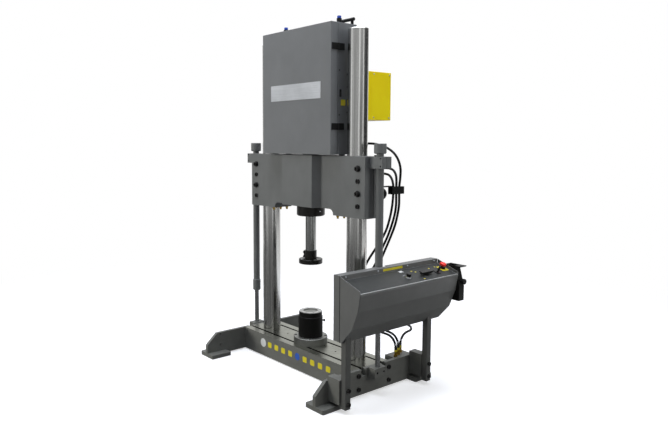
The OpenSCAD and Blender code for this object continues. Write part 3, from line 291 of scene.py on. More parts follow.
def emboss(tree, shader, height, depth, strength, over=None):
    # depth in millimetres; over is a bump that this one lies on
    links = {"Height": height}
    if over is not None:
        links["Normal"] = over
    bump = addNode(tree, "Bump", {"Strength": strength, "Distance": depth / 1000}, links)
    tree.links.new(bump.outputs[0], shader.inputs["Normal"])
    return bump.outputs[0]


# finishes

paints = {      # lighter and darker tone of each coat
    "cabinet": ("#727475", "#6b6d6e"),
    "frame": ("#6e706f", "#656766"),
    "console": ("#6b6c6a", "#626361"),
    # the posts' darker tone is painted shade, for their place under the console
    "post": ("#5d5e5b", "#535451"),
    "deskPanel": ("#2b2d2b", "#242625"),
    # the pale tone for the desk's front lip is a painted highlight along the fold
    "foldEdgeHighlight": ("#c2c3bf", "#a6a7a3"),
    "cover": ("#ffea12", "#fade0a"),
    "blackCoat": ("#0d0e0d", "#080908"),
}


def powderCoat(name, tones, roughness, peel=7.0, depth=0.05, shine=0.5):
    # polyester powder coat on sheet steel: satin, with the fine orange peel of a baked coat
    # the peel is 1 to 2 mm on a real coat and is drawn 5 to 9 mm so that it shows
    material, tree, shader, place = startMaterial(name, tones[0], roughness, ior=1.5, shine=shine)
    clouds = grain(tree, place, 180, detail=4)
    handled = grain(tree, place, 46, stretch=(1, 1, 2.4), detail=5, roughness=0.7)
    tint(tree, shader, blendOf(tree, clouds, handled, 0.65), (tones[1], tones[0]), (0.36, 0.62))
    roughen(tree, shader, handled, roughness - 0.03, roughness + 0.04)
    emboss(tree, shader, grain(tree, place, peel, detail=2), depth, 0.5)
    return material


cabinetPaint = powderCoat("greyPowderCoat", paints["cabinet"], 0.46)
framePaint = powderCoat("greyEnamel", paints["frame"], 0.42, peel=9, depth=0.07)
consolePaint = powderCoat("consolePowderCoat", paints["console"], 0.44)
# the square posts are drawn darker than the frame: painted shade under the console
postPaintShaded = powderCoat("squareTubeEnamelShaded", paints["post"], 0.46, peel=9, shine=0.35)
# pale paint for the desk's lip: a painted highlight along the fold
foldEdgeHighlight = powderCoat("foldEdgeHighlightPaint", paints["foldEdgeHighlight"], 0.34)
coverPaint = powderCoat("yellowPowderCoat", paints["cover"], 0.4, shine=0.25)
blackCoat = powderCoat("blackTexturedCoat", paints["blackCoat"], 0.5, peel=5, depth=0.12, shine=0.2)


def deskFilm():
    # matt polycarbonate overlay: dark, with a velvet grain under the lamps
    paler, darker = paints["deskPanel"]
    material, tree, shader, place = startMaterial("deskOverlayFilm", paler, 0.55, ior=1.585, shine=0.32)
    wear = grain(tree, place, 70, detail=6, roughness=0.65)
    tint(tree, shader, wear, (darker, paler), (0.35, 0.65))
    roughen(tree, shader, wear, 0.46, 0.62)
    emboss(tree, shader, grain(tree, place, 4, detail=1), 0.05, 0.4)
    return material


deskPaint = deskFilm()


def handledSoil(tree, place):
    return grain(tree, place, 90, stretch=(2, 2, 1), detail=6, roughness=0.68)


def castPaint():
    # hand-sprayed enamel over a rough-machined plate: dull, with the 50 mm passes of the mill showing through
    material, tree, shader, place = startMaterial("sprayedPlateEnamel", "#6a6b67", 0.5, ior=1.5)
    soil = handledSoil(tree, place)
    tint(tree, shader, soil, ("#5f605b", "#70716c"), (0.3, 0.66))
    roughen(tree, shader, soil, 0.42, 0.58)
    milled = addNode(tree, "TexWave", {"bands_direction": "X", "Scale": 1000 / 160, "Distortion": 3.0,
                                       "Detail": 2, "Detail Scale": 2.0}, {"Vector": place}).outputs["Fac"]
    under = emboss(tree, shader, milled, 0.05, 0.25)
    emboss(tree, shader, grain(tree, place, 8, detail=3), 0.08, 0.5, over=under)
    return material


platePaint = castPaint()


def tableIron():
    # ground grey cast iron working face, wiped with oil; sides sprayed; the slots, left as milled, are
    # painted dark as painted shade in the recesses
    within = Vector((0.5, 0.5, 0.4))        # paint and iron meet this far inside the faces
    sideX, sideY, faceZ = (boxOf("base_table")[1] - within) / 1000
    material, tree, shader, place = startMaterial("groundCastIron", "#6a6b67", 0.4)
    x, y, z = addNode(tree, "SeparateXYZ", {}, {0: place}).outputs
    farX = calc(tree, "GREATER_THAN", calc(tree, "ABSOLUTE", x, 0.0), sideX)
    farY = calc(tree, "GREATER_THAN", calc(tree, "ABSOLUTE", y, 0.0), sideY)
    below = calc(tree, "LESS_THAN", z, faceZ)
    painted = calc(tree, "MULTIPLY", below, calc(tree, "MAXIMUM", farX, farY))
    working = calc(tree, "GREATER_THAN", z, faceZ)
    # grinding lines run along the table; real ones are 0.2 mm apart and are drawn 3 mm apart
    lines = grain(tree, place, 3, stretch=(40, 1, 1), detail=4, roughness=0.6)
    oil = grain(tree, place, 120, stretch=(1.6, 1, 1), detail=6, roughness=0.62)
    spots = addNode(tree, "TexVoronoi", {"Scale": 1000 / 34, "Randomness": 1.0}, {"Vector": place}).outputs[0]
    iron = tint(tree, None, blendOf(tree, lines, oil, 0.45), ("#73746a", "#a6a79e"), (0.36, 0.64))
    stained = mixColour(tree, vary(tree, spots, 0.35, 0.0, (0.05, 0.3)), iron, "#6b6a5c")
    # the slots and the iron below the working face are painted near black: painted shade in the recesses
    slotShade = tint(tree, None, lines, ("#2a2a26", "#4a4a44"), (0.3, 0.7))
    bareIronAndSlotShade = mixColour(tree, working, slotShade, stained)
    soil = handledSoil(tree, place)
    enamel = tint(tree, None, soil, ("#62635e", "#72736e"), (0.3, 0.66))
    tree.links.new(mixColour(tree, painted, bareIronAndSlotShade, enamel), shader.inputs["Base Color"])
    tree.links.new(calc(tree, "SUBTRACT", 1.0, painted), shader.inputs["Metallic"])
    rough = calc(tree, "MAXIMUM", vary(tree, oil, 0.22, 0.46), calc(tree, "MULTIPLY", painted, 0.5))
    tree.links.new(rough, shader.inputs["Roughness"])
    emboss(tree, shader, calc(tree, "ADD", lines, calc(tree, "MULTIPLY", soil, 0.5)), 0.05, 0.5)
    return material


tableFinish = tableIron()


def groundMetal(name, tones, roughness, lineSize, stretch=(1, 1, 1), streak=0.4, depth=0.04):
    # turned or ground metal: fine lines across or along the piece, and hand marks that break up the shine
    material, tree, shader, place = startMaterial(name, tones[1], roughness[0], metallic=1.0)
    lines = grain(tree, place, lineSize, stretch=stretch, detail=5, roughness=0.62)
    marks = grain(tree, place, 60, stretch=[max(1, s ** 0.5) for s in stretch], detail=6, roughness=0.7)
    both = blendOf(tree, lines, marks, streak)
    tint(tree, shader, both, tones, (0.34, 0.66))
    roughen(tree, shader, both, *roughness)
    emboss(tree, shader, lines, depth, 0.35)
    return material


# hard chrome on ground columns: bright, with long upright streaks where the guide bushes have polished it
columnChrome = groundMetal("hardChrome", ("#a3a4a2", "#dcdcda"), roughness=(0.15, 0.26), lineSize=7,
                           stretch=(1, 1, 120), streak=0.75, depth=0.012)
# chromed piston rod, honed finer than the columns
pistonChrome = groundMetal("honedChrome", ("#8d8f8e", "#adafae"), roughness=(0.2, 0.3), lineSize=5,
                           stretch=(1, 1, 60), streak=0.5, depth=0.012)
liftRodSteel = groundMetal("groundShaftSteel", ("#8e9092", "#b9bbbd"), roughness=(0.2, 0.3), lineSize=4,
                           stretch=(1, 1, 60), streak=0.5, depth=0.015)
# load cell adapter: machined aluminium, clear anodised, so it is pale, even and slightly milky
flangeAluminium = groundMetal("clearAnodisedAluminium", ("#7d7e7a", "#989995"), roughness=(0.42, 0.52),
                              lineSize=2.5)
ringSteel = groundMetal("facedStainlessSteel", ("#a5a6a4", "#c3c4c2"), roughness=(0.24, 0.34), lineSize=2,
                        depth=0.01)
zincPlate = groundMetal("brightZincPlate", ("#9fa3a6", "#d5d9dc"), roughness=(0.2, 0.38), lineSize=1.6,
                        streak=0.35)
yellowZinc = groundMetal("yellowZincPlate", ("#9a7b2a", "#c9a648"), roughness=(0.24, 0.42), lineSize=1.6,
                         streak=0.35)


def blackOxide(name, tones, roughness, lineSize, shine=0.35):
    # hot black oxide on turned steel, oiled: near black with a brown cast and tight turning lines
    material, tree, shader, place = startMaterial(name, tones[0], roughness, shine=shine)
    lines = grain(tree, place, lineSize, stretch=(14, 14, 1), detail=4)
    marks = grain(tree, place, 34, detail=6, roughness=0.7)
    tint(tree, shader, marks, tones, (0.34, 0.68))
    roughen(tree, shader, marks, roughness - 0.08, roughness + 0.1)
    emboss(tree, shader, lines, 0.05, 0.45)
    return material


oxideSteel = blackOxide("blackOxideSteel", ("#0d0d0b", "#1d1c18"), 0.34, lineSize=2.0)
cellAnodise = blackOxide("hardBlackAnodise", ("#080807", "#0e0e0c"), 0.42, lineSize=3.0, shine=0.22)
boltOxide = blackOxide("blackOxideFastener", ("#131312", "#2a2927"), 0.3, lineSize=1.2)


def mouldedPlastic(name, tones, roughness, grit=3.0, depth=0.06, shine=0.3):
    # injection moulded ABS or nylon with a spark-eroded grain, rubbed smoother where it is handled
    material, tree, shader, place = startMaterial(name, tones[0], roughness, ior=1.54, shine=shine)
    touch = grain(tree, place, 22, detail=4)
    tint(tree, shader, touch, tones, (0.35, 0.65))
    roughen(tree, shader, touch, roughness - 0.08, roughness + 0.08)
    emboss(tree, shader, grain(tree, place, grit, detail=2), depth, 0.5)
    return material


blackPlastic = mouldedPlastic("mouldedBlackAbs", ("#0f0f0f", "#171717"), 0.42)
nylonBlack = mouldedPlastic("glassFilledNylon", ("#0a0a0a", "#121212"), 0.5, grit=4.0, depth=0.1, shine=0.2)
redPlastic = mouldedPlastic("mouldedRedAbs", ("#ef2416", "#ff3423"), 0.42, shine=0.35)
blueCap = mouldedPlastic("blueVinylCap", ("#22409c", "#3658b8"), 0.4)


def polyesterFilm(name, tones):
    # self-adhesive film: flat colour, slightly wavy from the surface beneath
    material, tree, shader, place = startMaterial(name, tones[0], 0.38, ior=1.46)
    fade = grain(tree, place, 30, detail=4)
    tint(tree, shader, fade, tones, (0.3, 0.7))
    roughen(tree, shader, fade, 0.33, 0.45)
    emboss(tree, shader, grain(tree, place, 16, detail=1), 0.05, 0.3)
    return material


yellowFilm = polyesterFilm("yellowPolyesterFilm", ("#d9c92c", "#e3d43a"))
whiteFilm = polyesterFilm("whitePolyesterFilm", ("#d2d4d4", "#dfe1e1"))
blueFilm = polyesterFilm("bluePolyesterFilm", ("#2f57b0", "#3c66c2"))


def brushedFoil():
    # brushed aluminium nameplate foil, lines along its length, left without print
    material, tree, shader, place = startMaterial("brushedAluminiumFoil", "#c3c6c9", 0.34, 0.25, ior=1.5)
    lines = grain(tree, place, 2.2, stretch=(60, 1, 1), detail=4)
    clouds = grain(tree, place, 120, detail=3)
    tint(tree, shader, blendOf(tree, lines, clouds, 0.5), ("#b4b7ba", "#cdd0d3"), (0.35, 0.65))
    roughen(tree, shader, lines, 0.28, 0.44)
    emboss(tree, shader, lines, 0.02, 0.3)
    return material


plateFoil = brushedFoil()


def hoseRubber():
    # wrapped nitrile hose cover: dull black, printed by the cloth it was cured in, dusty in patches
    material, tree, shader, place = startMaterial("wrappedHoseRubber", "#101010", 0.5, ior=1.52, shine=0.2)
    dust = grain(tree, place, 26, detail=5, roughness=0.66)
    tint(tree, shader, dust, ("#090909", "#171716"), (0.35, 0.75))
    roughen(tree, shader, dust, 0.36, 0.58)
    # the wrapping shows as slow waves, some 38 mm long, and a 3 mm grain stands for the print of the threads
    wraps = addNode(tree, "TexWave", {"bands_direction": "DIAGONAL", "Scale": 1000 / 60, "Distortion": 0.6},
                    {"Vector": place}).outputs["Fac"]
    wrapped = emboss(tree, shader, wraps, 0.12, 0.4)
    emboss(tree, shader, grain(tree, place, 3, detail=2), 0.08, 0.4, over=wrapped)
    return material


rubber = hoseRubber()
print("finishes made")


# shapes that the small pieces share; their sizes are in millimetres, and a line's points are in metres

def pointAt(line, distance):
    for a, b in zip(line, line[1:]):
        span = (b - a).length
        if distance <= span:
            return a.lerp(b, distance / span)
        distance -= span
    return line[-1].copy()


def sleeveOn(name, line, profile, material, body, sides=24):
    # a sleeve that follows the first part of a line; a profile row is a distance along it and a radius
    spots, radii = [], []
    for (d0, r0), (d1, r1) in zip(profile, profile[1:]):
        pieces = max(1, round((d1 - d0) / 3))
        for k in range(pieces):
            t = k / pieces
            spots.append(pointAt(line, (d0 + (d1 - d0) * t) / 1000))
            radii.append((r0 + (r1 - r0) * t) / 1000)
    spots.append(pointAt(line, profile[-1][0] / 1000))
    radii.append(profile[-1][1] / 1000)
    points = ringsAlong(spots, radii, sides)
    return makeMesh(name, points, tubeFaces(len(spots), sides), material, body, smooth=35)


def frameAt(spot, outward, along=(1, 0, 0)):
    # a place in millimetres with its own right, up and outward directions
    out = Vector(outward).normalized()
    right = Vector(along)
    right = (right - out * right.dot(out)).normalized()
    up = out.cross(right)
    place = Matrix((right, up, out)).transposed().to_4x4()
    place.translation = Vector(spot) / 1000
    return place


def turnedBy(degrees, spot):
    # a place or a direction, turned about the load axis
    return Matrix.Rotation(math.radians(degrees), 3, "Z") @ Vector(spot)


def rounded(width, height, corner, steps=6):
    outline = []
    for cx, cy, turn in ((1, -1, -90), (1, 1, 0), (-1, 1, 90), (-1, -1, 180)):
        for k in range(steps + 1):
            a = math.radians(turn + 90 * k / steps)
            outline.append((cx * (width / 2 - corner) + corner * math.cos(a),
                            cy * (height / 2 - corner) + corner * math.sin(a)))
    return outline


def circle(radius, spot=(0, 0), sides=40):
    return [(spot[0] + radius * math.cos(2 * math.pi * k / sides),
             spot[1] + radius * math.sin(2 * math.pi * k / sides)) for k in range(sides)]


def drawIn(outline, amount):
    # the outline moved inwards by amount; it runs counter-clockwise
    inner = []
    for i, here in enumerate(outline):
        before, after = Vector(outline[i - 1]), Vector(outline[(i + 1) % len(outline)])
        one, two = (Vector(here) - before).normalized(), (after - Vector(here)).normalized()
        side = (one + two).normalized()
        inner.append((here[0] - side.y * amount, here[1] + side.x * amount))
    return inner


def addRing(work, place, outline, height):
    corners = [work.verts.new(place @ (Vector((x, y, height)) / 1000)) for x, y in outline]
    return corners, [work.edges.new((corners[i - 1], corners[i])) for i in range(len(corners))]


def addWall(work, low, high):
    for i in range(len(low)):
        work.faces.new((low[i - 1], low[i], high[i], high[i - 1]))


def platePiece(name, places, outline, material, body, thickness, edge, holes=()):
    # thin plates with a softened rim, one at each place, and holes right through
    work = bmesh.new()
    for place in places:
        bottom, bottomEdges = addRing(work, place, outline, 0)
        rim = addRing(work, place, outline, thickness - edge)[0]
        face, faceEdges = addRing(work, place, drawIn(outline, edge), thickness)
        addWall(work, bottom, rim)
        addWall(work, rim, face)
        for hole in holes:
            low, lowEdges = addRing(work, place, hole, 0)
            high, highEdges = addRing(work, place, hole, thickness)
            addWall(work, high, low)
            bottomEdges += lowEdges
            faceEdges += highEdges
        for edges in (faceEdges, bottomEdges):
            bmesh.ops.triangle_fill(work, use_beauty=True, edges=edges)
    points = [v.co.copy() for v in work.verts]
    work.verts.index_update()
    faces = [[v.index for v in f.verts] for f in work.faces]
    work.free()
    return makeMesh(name, points, faces, material, body, smooth=30)


def turnedPiece(name, places, profile, material, body, sides=32):
    # turned pieces, one at each place; a profile row is radius, height, and how many flats it has if any
    points, faces = [], []
    for place in places:
        start = len(points)
        for radius, height, *flats in profile:
            for k in range(sides):
                turn = 2 * math.pi * k / sides
                reach = radius
                if flats:
                    part = 2 * math.pi / flats[0]
                    reach = radius / math.cos((turn % part) - part / 2)
                spot = Vector((reach * math.cos(turn), reach * math.sin(turn), height)) / 1000
                points.append(place @ spot)
        for face in tubeFaces(len(profile), sides):
            faces.append(tuple(start + i for i in face))
    return makeMesh(name, points, faces, material, body, smooth=35)


def capHead(radius, height, socket=0.5):
    # a socket head cap screw's head without its knurl; socket is the hexagon's share of the radius
    return [(radius * 0.96, 0), (radius, height * 0.06), (radius, height * 0.86), (radius * 0.9, height),
            (radius * socket * 1.16, height), (radius * socket, height * 0.93, 6),
            (radius * socket, height * 0.42, 6)]


def panHead(radius, height):
    # a pan head screw with a six-lobe recess, drawn as a small hexagon
    return [(radius, 0), (radius, height * 0.35), (radius * 0.86, height * 0.78), (radius * 0.55, height),
            (radius * 0.34, height), (radius * 0.3, height * 0.9, 6), (radius * 0.3, height * 0.45, 6)]


# thickness and softened rim of self-adhesive films, in millimetres
sheetFilm = {"thickness": 0.4, "edge": 0.15}
thinFilm = {"thickness": 0.3, "edge": 0.1}


# hoses with the sleeves on their ends: crimped ferrule, yellow band and zinc clip below, rubber boot above

sleeves = {      # distance from the hose's end and radius, in millimetres
    "ferrule": [(0.3, 7.0), (1.5, 7.9), (7, 7.9), (7.6, 7.3), (9.4, 7.3), (10, 7.9), (15, 7.9),
                (15.6, 7.3), (17.4, 7.3), (18, 7.9), (25, 7.9), (26.5, 6.4)],
    "band": [(0.6, 8.0), (1.2, 8.5), (10.4, 8.5), (11, 8.0)],
    "clip": [(34, 6.15), (34.6, 6.8), (41.4, 6.8), (42, 6.15)],
    "boot": [(0.5, 8.6), (4, 8.8), (9, 8.4), (10, 7.9), (14, 7.8), (15, 7.4), (19, 7.3), (20, 6.9),
             (26, 6.6), (27, 6.1)],
}

for hoseName, corners in hoseRoutes.items():
    line = smoothRoute(corners, hoseValues["step"])
    points = ringsAlong(line, [hoseValues["diameter"] / 2] * len(line), hoseValues["sides"])
    hose = makeMesh(hoseName, points, tubeFaces(len(line), hoseValues["sides"]), rubber, None, smooth=60)
    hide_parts(hoseNodes[hoseName])
    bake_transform(hose)
    lower = list(reversed(line))
    ferrule = sleeveOn(hoseName + "Ferrule", lower, sleeves["ferrule"], boltOxide, "base")
    band = sleeveOn(hoseName + "Band", lower, sleeves["band"], yellowFilm, "base")
    clip = sleeveOn(hoseName + "Clip", lower, sleeves["clip"], zincPlate, "base")
    boot = sleeveOn(hoseName + "Boot", line, sleeves["boot"], nylonBlack, "crosshead_body")


# finishes and edge breaks for the pieces that come from the model

finishes = [
    (platePaint, ["left_side_plate", "right_side_plate", "foot_pads", "left_lift_block", "right_lift_block",
                  "front_post_block", "rear_post_block", "manifold"]),
    (framePaint, ["crosshead", "left_bracket", "right_bracket", "left_lift_tube", "right_lift_tube",
                  "lift_caps", "actuator_body"]),
    (postPaintShaded, ["front_post", "rear_post"]),
    (consolePaint, ["console_channel", "console_shell"]),
    (cabinetPaint, ["cabinet_shell", "cabinet_door"]),
    (coverPaint, ["drive_cover"]),
    (blackCoat, ["handset_holder", "valve_manifold", "hose_clamp"]),
    (tableFinish, ["base_table"]),
    (columnChrome, ["left_column", "right_column"]),
    (pistonChrome, ["piston_rod"]),
    (liftRodSteel, ["left_lift_rod", "right_lift_rod"]),
    (flangeAluminium, ["cell_flange"]),
    (ringSteel, ["load_cell_ring", "drive_shaft"]),
    (zincPlate, ["selector_base"]),
    (yellowZinc, ["hose_fittings", "plug_fittings"]),
    (cellAnodise, ["load_cell"]),
    (oxideSteel, ["end_ring", "rod_collar", "platen"]),
    (boltOxide, ["side_plate_bolts", "flange_bolts", "post_bolts", "clamp_bolts"]),
    (blackPlastic, ["stop_base", "paddle_base", "valve_base", "selector_knob", "paddle_lever",
                    "valve_handle"]),
    (redPlastic, ["stop_button"]),
    (nylonBlack, ["holder_knob", "hinge_leaves", "door_leaves", "hose_ports", "top_handle"]),
]
edgeBreaks = {      # in millimetres; pieces left out keep the edges they have
    1.8: ["cabinet_shell", "cabinet_door", "drive_cover"],
    1.6: ["crosshead", "console_channel", "holder_knob"],
    1.4: ["valve_handle"],
    1.2: ["console_shell", "left_side_plate", "right_side_plate", "foot_pads", "left_lift_block",
          "right_lift_block", "front_post_block", "rear_post_block", "left_bracket", "right_bracket",
          "handset_holder", "valve_manifold"],
    1.0: ["base_table", "manifold", "top_handle", "selector_knob"],
    0.8: ["hose_clamp", "paddle_lever", "hinge_leaves", "door_leaves"],
    0.6: ["rod_collar"],
    0.5: ["clamp_bolts", "side_plate_bolts", "post_bolts", "platen", "cell_flange"],
    0.4: ["load_cell_ring"],
}
edgeRules = {
    "flat": 0.4,    # degrees; faces that meet below this become one
    "fold": 38,     # degrees; edges above this are rounded
    "creases": {"console_shell": 9.5},      # its sheet has shallow creases, which are rounded too
    "rounds": 2,
    "smoothing": 90,
}


def breakEdges(nodeName, width):
    # joins the imported faces, clears the flat triangles and rounds the sharp edges
    node = parts[nodeName]
    fold = edgeRules["creases"].get(nodeName, edgeRules["fold"])
    steps = [
        ("WELD", {"merge_threshold": mergeWithin}),
        ("DECIMATE", {"decimate_type": "DISSOLVE", "angle_limit": math.radians(edgeRules["flat"])}),
        ("BEVEL", {"width": width / 1000, "segments": edgeRules["rounds"], "limit_method": "ANGLE",
                   "angle_limit": math.radians(fold),
                   "use_clamp_overlap": nodeName not in edgeRules["creases"]}),
        ("WEIGHTED_NORMAL", {"weight": edgeRules["smoothing"]}),
    ]
    for kind, values in steps:
        step = node.modifiers.new(kind.lower(), kind)
        for name, value in values.items():
            setattr(step, name, value)


for finish, nodeNames in finishes:
    for nodeName in nodeNames:
        parts[nodeName].data.materials.clear()
        parts[nodeName].data.materials.append(finish)
for width, nodeNames in edgeBreaks.items():
    for nodeName in nodeNames:
        breakEdges(nodeName, width)
print("model pieces finished")


# cabinet and door details; a place on the side is y and z, a plate is width, height and corner radius

cabinet = {
    "namePlate": (408, 83, 2.5), "namePlateHeight": 1358.5,
    "screw": (3.6, 2.2), "screws": [(-2, 1434), (-2, 1372), (-2, 1309), (-2, 1247), (-56, 1452), (-56, 1233)],
    "coverScrew": (4.2, 2.4), "coverScrews": [(y, z) for y in (72, 187, 302) for z in (1226, 1448)],
    "portX": 215,
    "portCap": [(9.9, 34), (10.4, 35), (10.4, 43.5), (9.6, 45.2), (7.5, 46)],
    "portRing": [(15.5, 0), (16.5, 1), (16.5, 6, 6), (14.5, 7.5), (13.3, 8)],
}
sidePlates = [      # name, plate, places, how far it stands out, finish, thickness and softened rim
    ("cabinetRearLugs", (20, 28, 3), [(14, 1565), (14, 1176)], 0, nylonBlack, 6.5, 1.0),
    ("cabinetLatch", (11.4, 37.4, 2), [(-48, 1340)], -2.2, nylonBlack, 3.4, 0.7),
    ("cabinetLatchLever", (6.5, 20, 2.6), [(-48, 1334)], 1.2, blackPlastic, 4.2, 1.2),
    ("cabinetSideTag", (30, 30, 5), [(-30, 1294)], 0, yellowFilm, *sheetFilm.values()),
]
doorFront = boxOf("cabinet_door")[0].y
shellHigh = boxOf("cabinet_shell")[1]


def onCabinetSide(places, lift=0.0):
    return [frameAt((shellHigh.x + lift, y, z), (1, 0, 0), (0, 1, 0)) for y, z in places]


platePiece("doorNamePlate", [frameAt((0, doorFront, cabinet["namePlateHeight"]), (0, -1, 0))],
           rounded(*cabinet["namePlate"]), plateFoil, "door", thickness=1.0, edge=0.4)
turnedPiece("cabinetSideScrews", onCabinetSide(cabinet["screws"]), panHead(*cabinet["screw"]), boltOxide,
            "crosshead_body", sides=18)
for name, plate, places, lift, finish, thickness, edge in sidePlates:
    platePiece(name, onCabinetSide(places, lift), rounded(*plate), finish, "crosshead_body", thickness, edge)
portPlaces = [frameAt((x * cabinet["portX"], 0, shellHigh.z), (0, 0, 1)) for x in (-1, 1)]
turnedPiece("hosePortCaps", portPlaces, cabinet["portCap"], blueCap, "crosshead_body")
turnedPiece("hosePortRings", portPlaces, cabinet["portRing"], nylonBlack, "crosshead_body", sides=48)
turnedPiece("driveCoverScrews", onCabinetSide(cabinet["coverScrews"]), panHead(*cabinet["coverScrew"]),
            zincPlate, "crosshead_body", sides=18)
print("cabinet details made")


# crosshead and actuator details; a head is its radius, height and the socket's share of it

crosshead = {
    "bracketHead": (4.3, 5.5, 0.55), "bracketX": 540, "bracketSunk": 7.5, "bracketZ": (1022, 986),
    "topHead": (5.6, 6.4), "topX": 452, "topY": (24, 44),
    "nippleSunk": 0.6, "nipple": [(4.6, 0), (4.6, 1.6, 6), (3.2, 2.0), (2.6, 3.4), (1.2, 4.4)],
    "earHead": (5.2, 7.5), "earTurn": 200, "earX": 35.5, "earFace": 8.6, "earZ": (479, 502),
    "setScrewReach": 51, "setScrewTurns": (-105, -15, 75, 165), "setScrewSunk": 0.6,
    "setScrew": [(5.2, 0), (5.2, 1.4), (4.6, 1.9), (2.9, 1.9), (2.6, 1.7, 6), (2.6, 0.9, 6)],
}
bracketFace = boxOf("left_bracket")[0].y + crosshead["bracketSunk"]
bracketPlaces = [frameAt((x * crosshead["bracketX"], bracketFace, z), (0, -1, 0))
                 for x in (-1, 1) for z in crosshead["bracketZ"]]
turnedPiece("bracketScrews", bracketPlaces, capHead(*crosshead["bracketHead"]), cellAnodise,
            "crosshead_body", sides=24)
topPlaces = [frameAt((x * crosshead["topX"], y, boxOf("crosshead")[1].z), (0, 0, 1))
             for x in (-1, 1) for y in crosshead["topY"]]
turnedPiece("crossheadTopScrews", topPlaces, capHead(*crosshead["topHead"]), boltOxide, "crosshead_body",
            sides=24)
ringLow, ringHigh = boxOf("end_ring")
nipplePlace = (ringHigh.x - crosshead["nippleSunk"], 0, (ringLow.z + ringHigh.z) / 2)
turnedPiece("endRingGreaseNipple", [frameAt(nipplePlace, (1, 0, 0), (0, 1, 0))], crosshead["nipple"],
            zincPlate, "crosshead_body")
earTurn = crosshead["earTurn"]      # to the collar's clamping ears
earPlaces = [frameAt(turnedBy(earTurn, (crosshead["earX"], crosshead["earFace"], z)),
                     turnedBy(earTurn, (0, 1, 0)), (0, 0, 1)) for z in crosshead["earZ"]]
turnedPiece("collarClampScrews", earPlaces, capHead(*crosshead["earHead"]), boltOxide, "piston", sides=24)
setSpot = (crosshead["setScrewReach"], 0, boxOf("platen")[1].z - crosshead["setScrewSunk"])
setPlaces = [frameAt(turnedBy(turn, setSpot), (0, 0, 1)) for turn in crosshead["setScrewTurns"]]
turnedPiece("platenSetScrews", setPlaces, crosshead["setScrew"], zincPlate, "piston", sides=24)

cell = {
    "pilotGap": 0.05,       # above the load cell's face, which is level with the ring's underside
    "pilotFace": [(39.4, 0), (39.4, 0.5), (39.0, 0.8), (9, 0.8), (8.6, 0.5), (8.4, 0.2)],
    "connectorTurn": 50, "connectorHeight": 124,
    "connectorNut": [(6.2, 71.8), (7.4, 72.4), (7.4, 77.6), (6.6, 78.4), (6.2, 78.6)],
}
pilotHeight = boxOf("load_cell_ring")[0].z + cell["pilotGap"]
turnedPiece("cellPilotFace", [frameAt((0, 0, pilotHeight), (0, 0, 1))], cell["pilotFace"], flangeAluminium,
            "base", sides=64)
connectorWay = turnedBy(cell["connectorTurn"], (1, 0, 0))
turnedPiece("cellConnectorNut", [frameAt((0, 0, cell["connectorHeight"]), connectorWay, (0, 0, 1))],
            cell["connectorNut"], nylonBlack, "base")
print("crosshead and actuator details made")


# table details: ten tags in a row on the front, of which one is a pale disc and one a blue disc

table = {
    "tagCount": 10, "firstTag": -280, "tagPitch": 61.8, "tagHeight": -50, "yellowTag": (34, 31, 7),
    "paleTag": 0, "paleRadius": 25, "blueTag": 5, "blueRadius": 19.5,
    "blockHead": (5.4, 5.5, 0.55), "blockSunk": 7.5, "blockY": (-22.4, 22.4), "blockZ": -18,
}
tableFront = boxOf("base_table")[0].y
tagPlaces = [frameAt((table["firstTag"] + table["tagPitch"] * i, tableFront, table["tagHeight"]), (0, -1, 0))
             for i in range(table["tagCount"])]
palePlace, bluePlace = tagPlaces[table["paleTag"]], tagPlaces[table["blueTag"]]
platePiece("tableYellowTags", [p for p in tagPlaces if p not in (palePlace, bluePlace)],
           rounded(*table["yellowTag"]), yellowFilm, "base", **sheetFilm)
platePiece("tablePaleTag", [palePlace], circle(table["paleRadius"]), whiteFilm, "base", **sheetFilm)
platePiece("tableBlueTag", [bluePlace], circle(table["blueRadius"]), blueFilm, "base", **sheetFilm)
blockFace = boxOf("right_lift_block")[1].x - table["blockSunk"]
blockPlaces = [frameAt((x * blockFace, y, table["blockZ"]), (x, 0, 0), (0, 1, 0))
               for x in (-1, 1) for y in table["blockY"]]
turnedPiece("liftBlockScrews", blockPlaces, capHead(*table["blockHead"]), cellAnodise, "base", sides=24)
print("table details made")


# console details; a place on the desk is x and y, and the desk falls towards the operator

console = {
    "deskBack": 483, "deskDrop": 38, "deskReach": 126, "middle": 35,
    "overlay": (124, 668, 4), "overlayStart": 3.5, "overlayThickness": 0.5,
    "holes": {"stop": 9.0, "selector": 6.0, "paddle": 11.0, "valve": 8.0},      # radii in the overlay
    "stop": (616, 343), "selector": (636, 66), "paddle": (645.16, 273), "valve": (638, 193),
    "stripHeight": 495, "stripScrew": (4.6, 2.8), "stripScrewsY": (-271, -62, 144, 349),
    "label": (136, 12, 1.5), "labelY": 40,
    "whiteTag": (16, 26, 2), "whiteTagPlace": (581, 75),
    "yellowTag": (8, 9, 2), "yellowTags": [(594, 136), (605, 153), (671, 143), (598, 263), (594, 312)],
    "mark": (9, 2.2, 0.8), "markTurns": (150, 180, 210), "markReach": 22.5,
    "stopPlate": (50, 46, 6), "stopPlateShift": 4, "stopHole": 16.4,
    "lipX": 688.6, "lipZ": 444.6, "lipY": (-304, -302, -150, 35, 200, 372, 374),
    "lipRadius": 2.2, "lipEndRadius": 1.2, "lipSides": 16,
    "seam": (3.0, 303, 1.2), "seamX": 562.6, "seamZ": 352, "seamY": (-308.2, 378.2),
}
face = boxOf("console_channel")[1].x
slope = math.atan(console["deskDrop"] / console["deskReach"])
down = Vector((math.cos(slope), 0, -math.sin(slope)))       # along the desk, towards the operator
deskUp = Vector((-down.z, 0, down.x))
filmTop = console["overlayThickness"]


def onDesk(x, y, lift=0.0):
    spot = Vector((face, y, console["deskBack"]))
    spot += down * ((x - face) / down.x) + deskUp * lift
    return frameAt(spot, deskUp, down)


def onStrip(y):
    # a place on the upright strip of the channel behind the desk
    return frameAt((face, y, console["stripHeight"]), (1, 0, 0), (0, 1, 0))


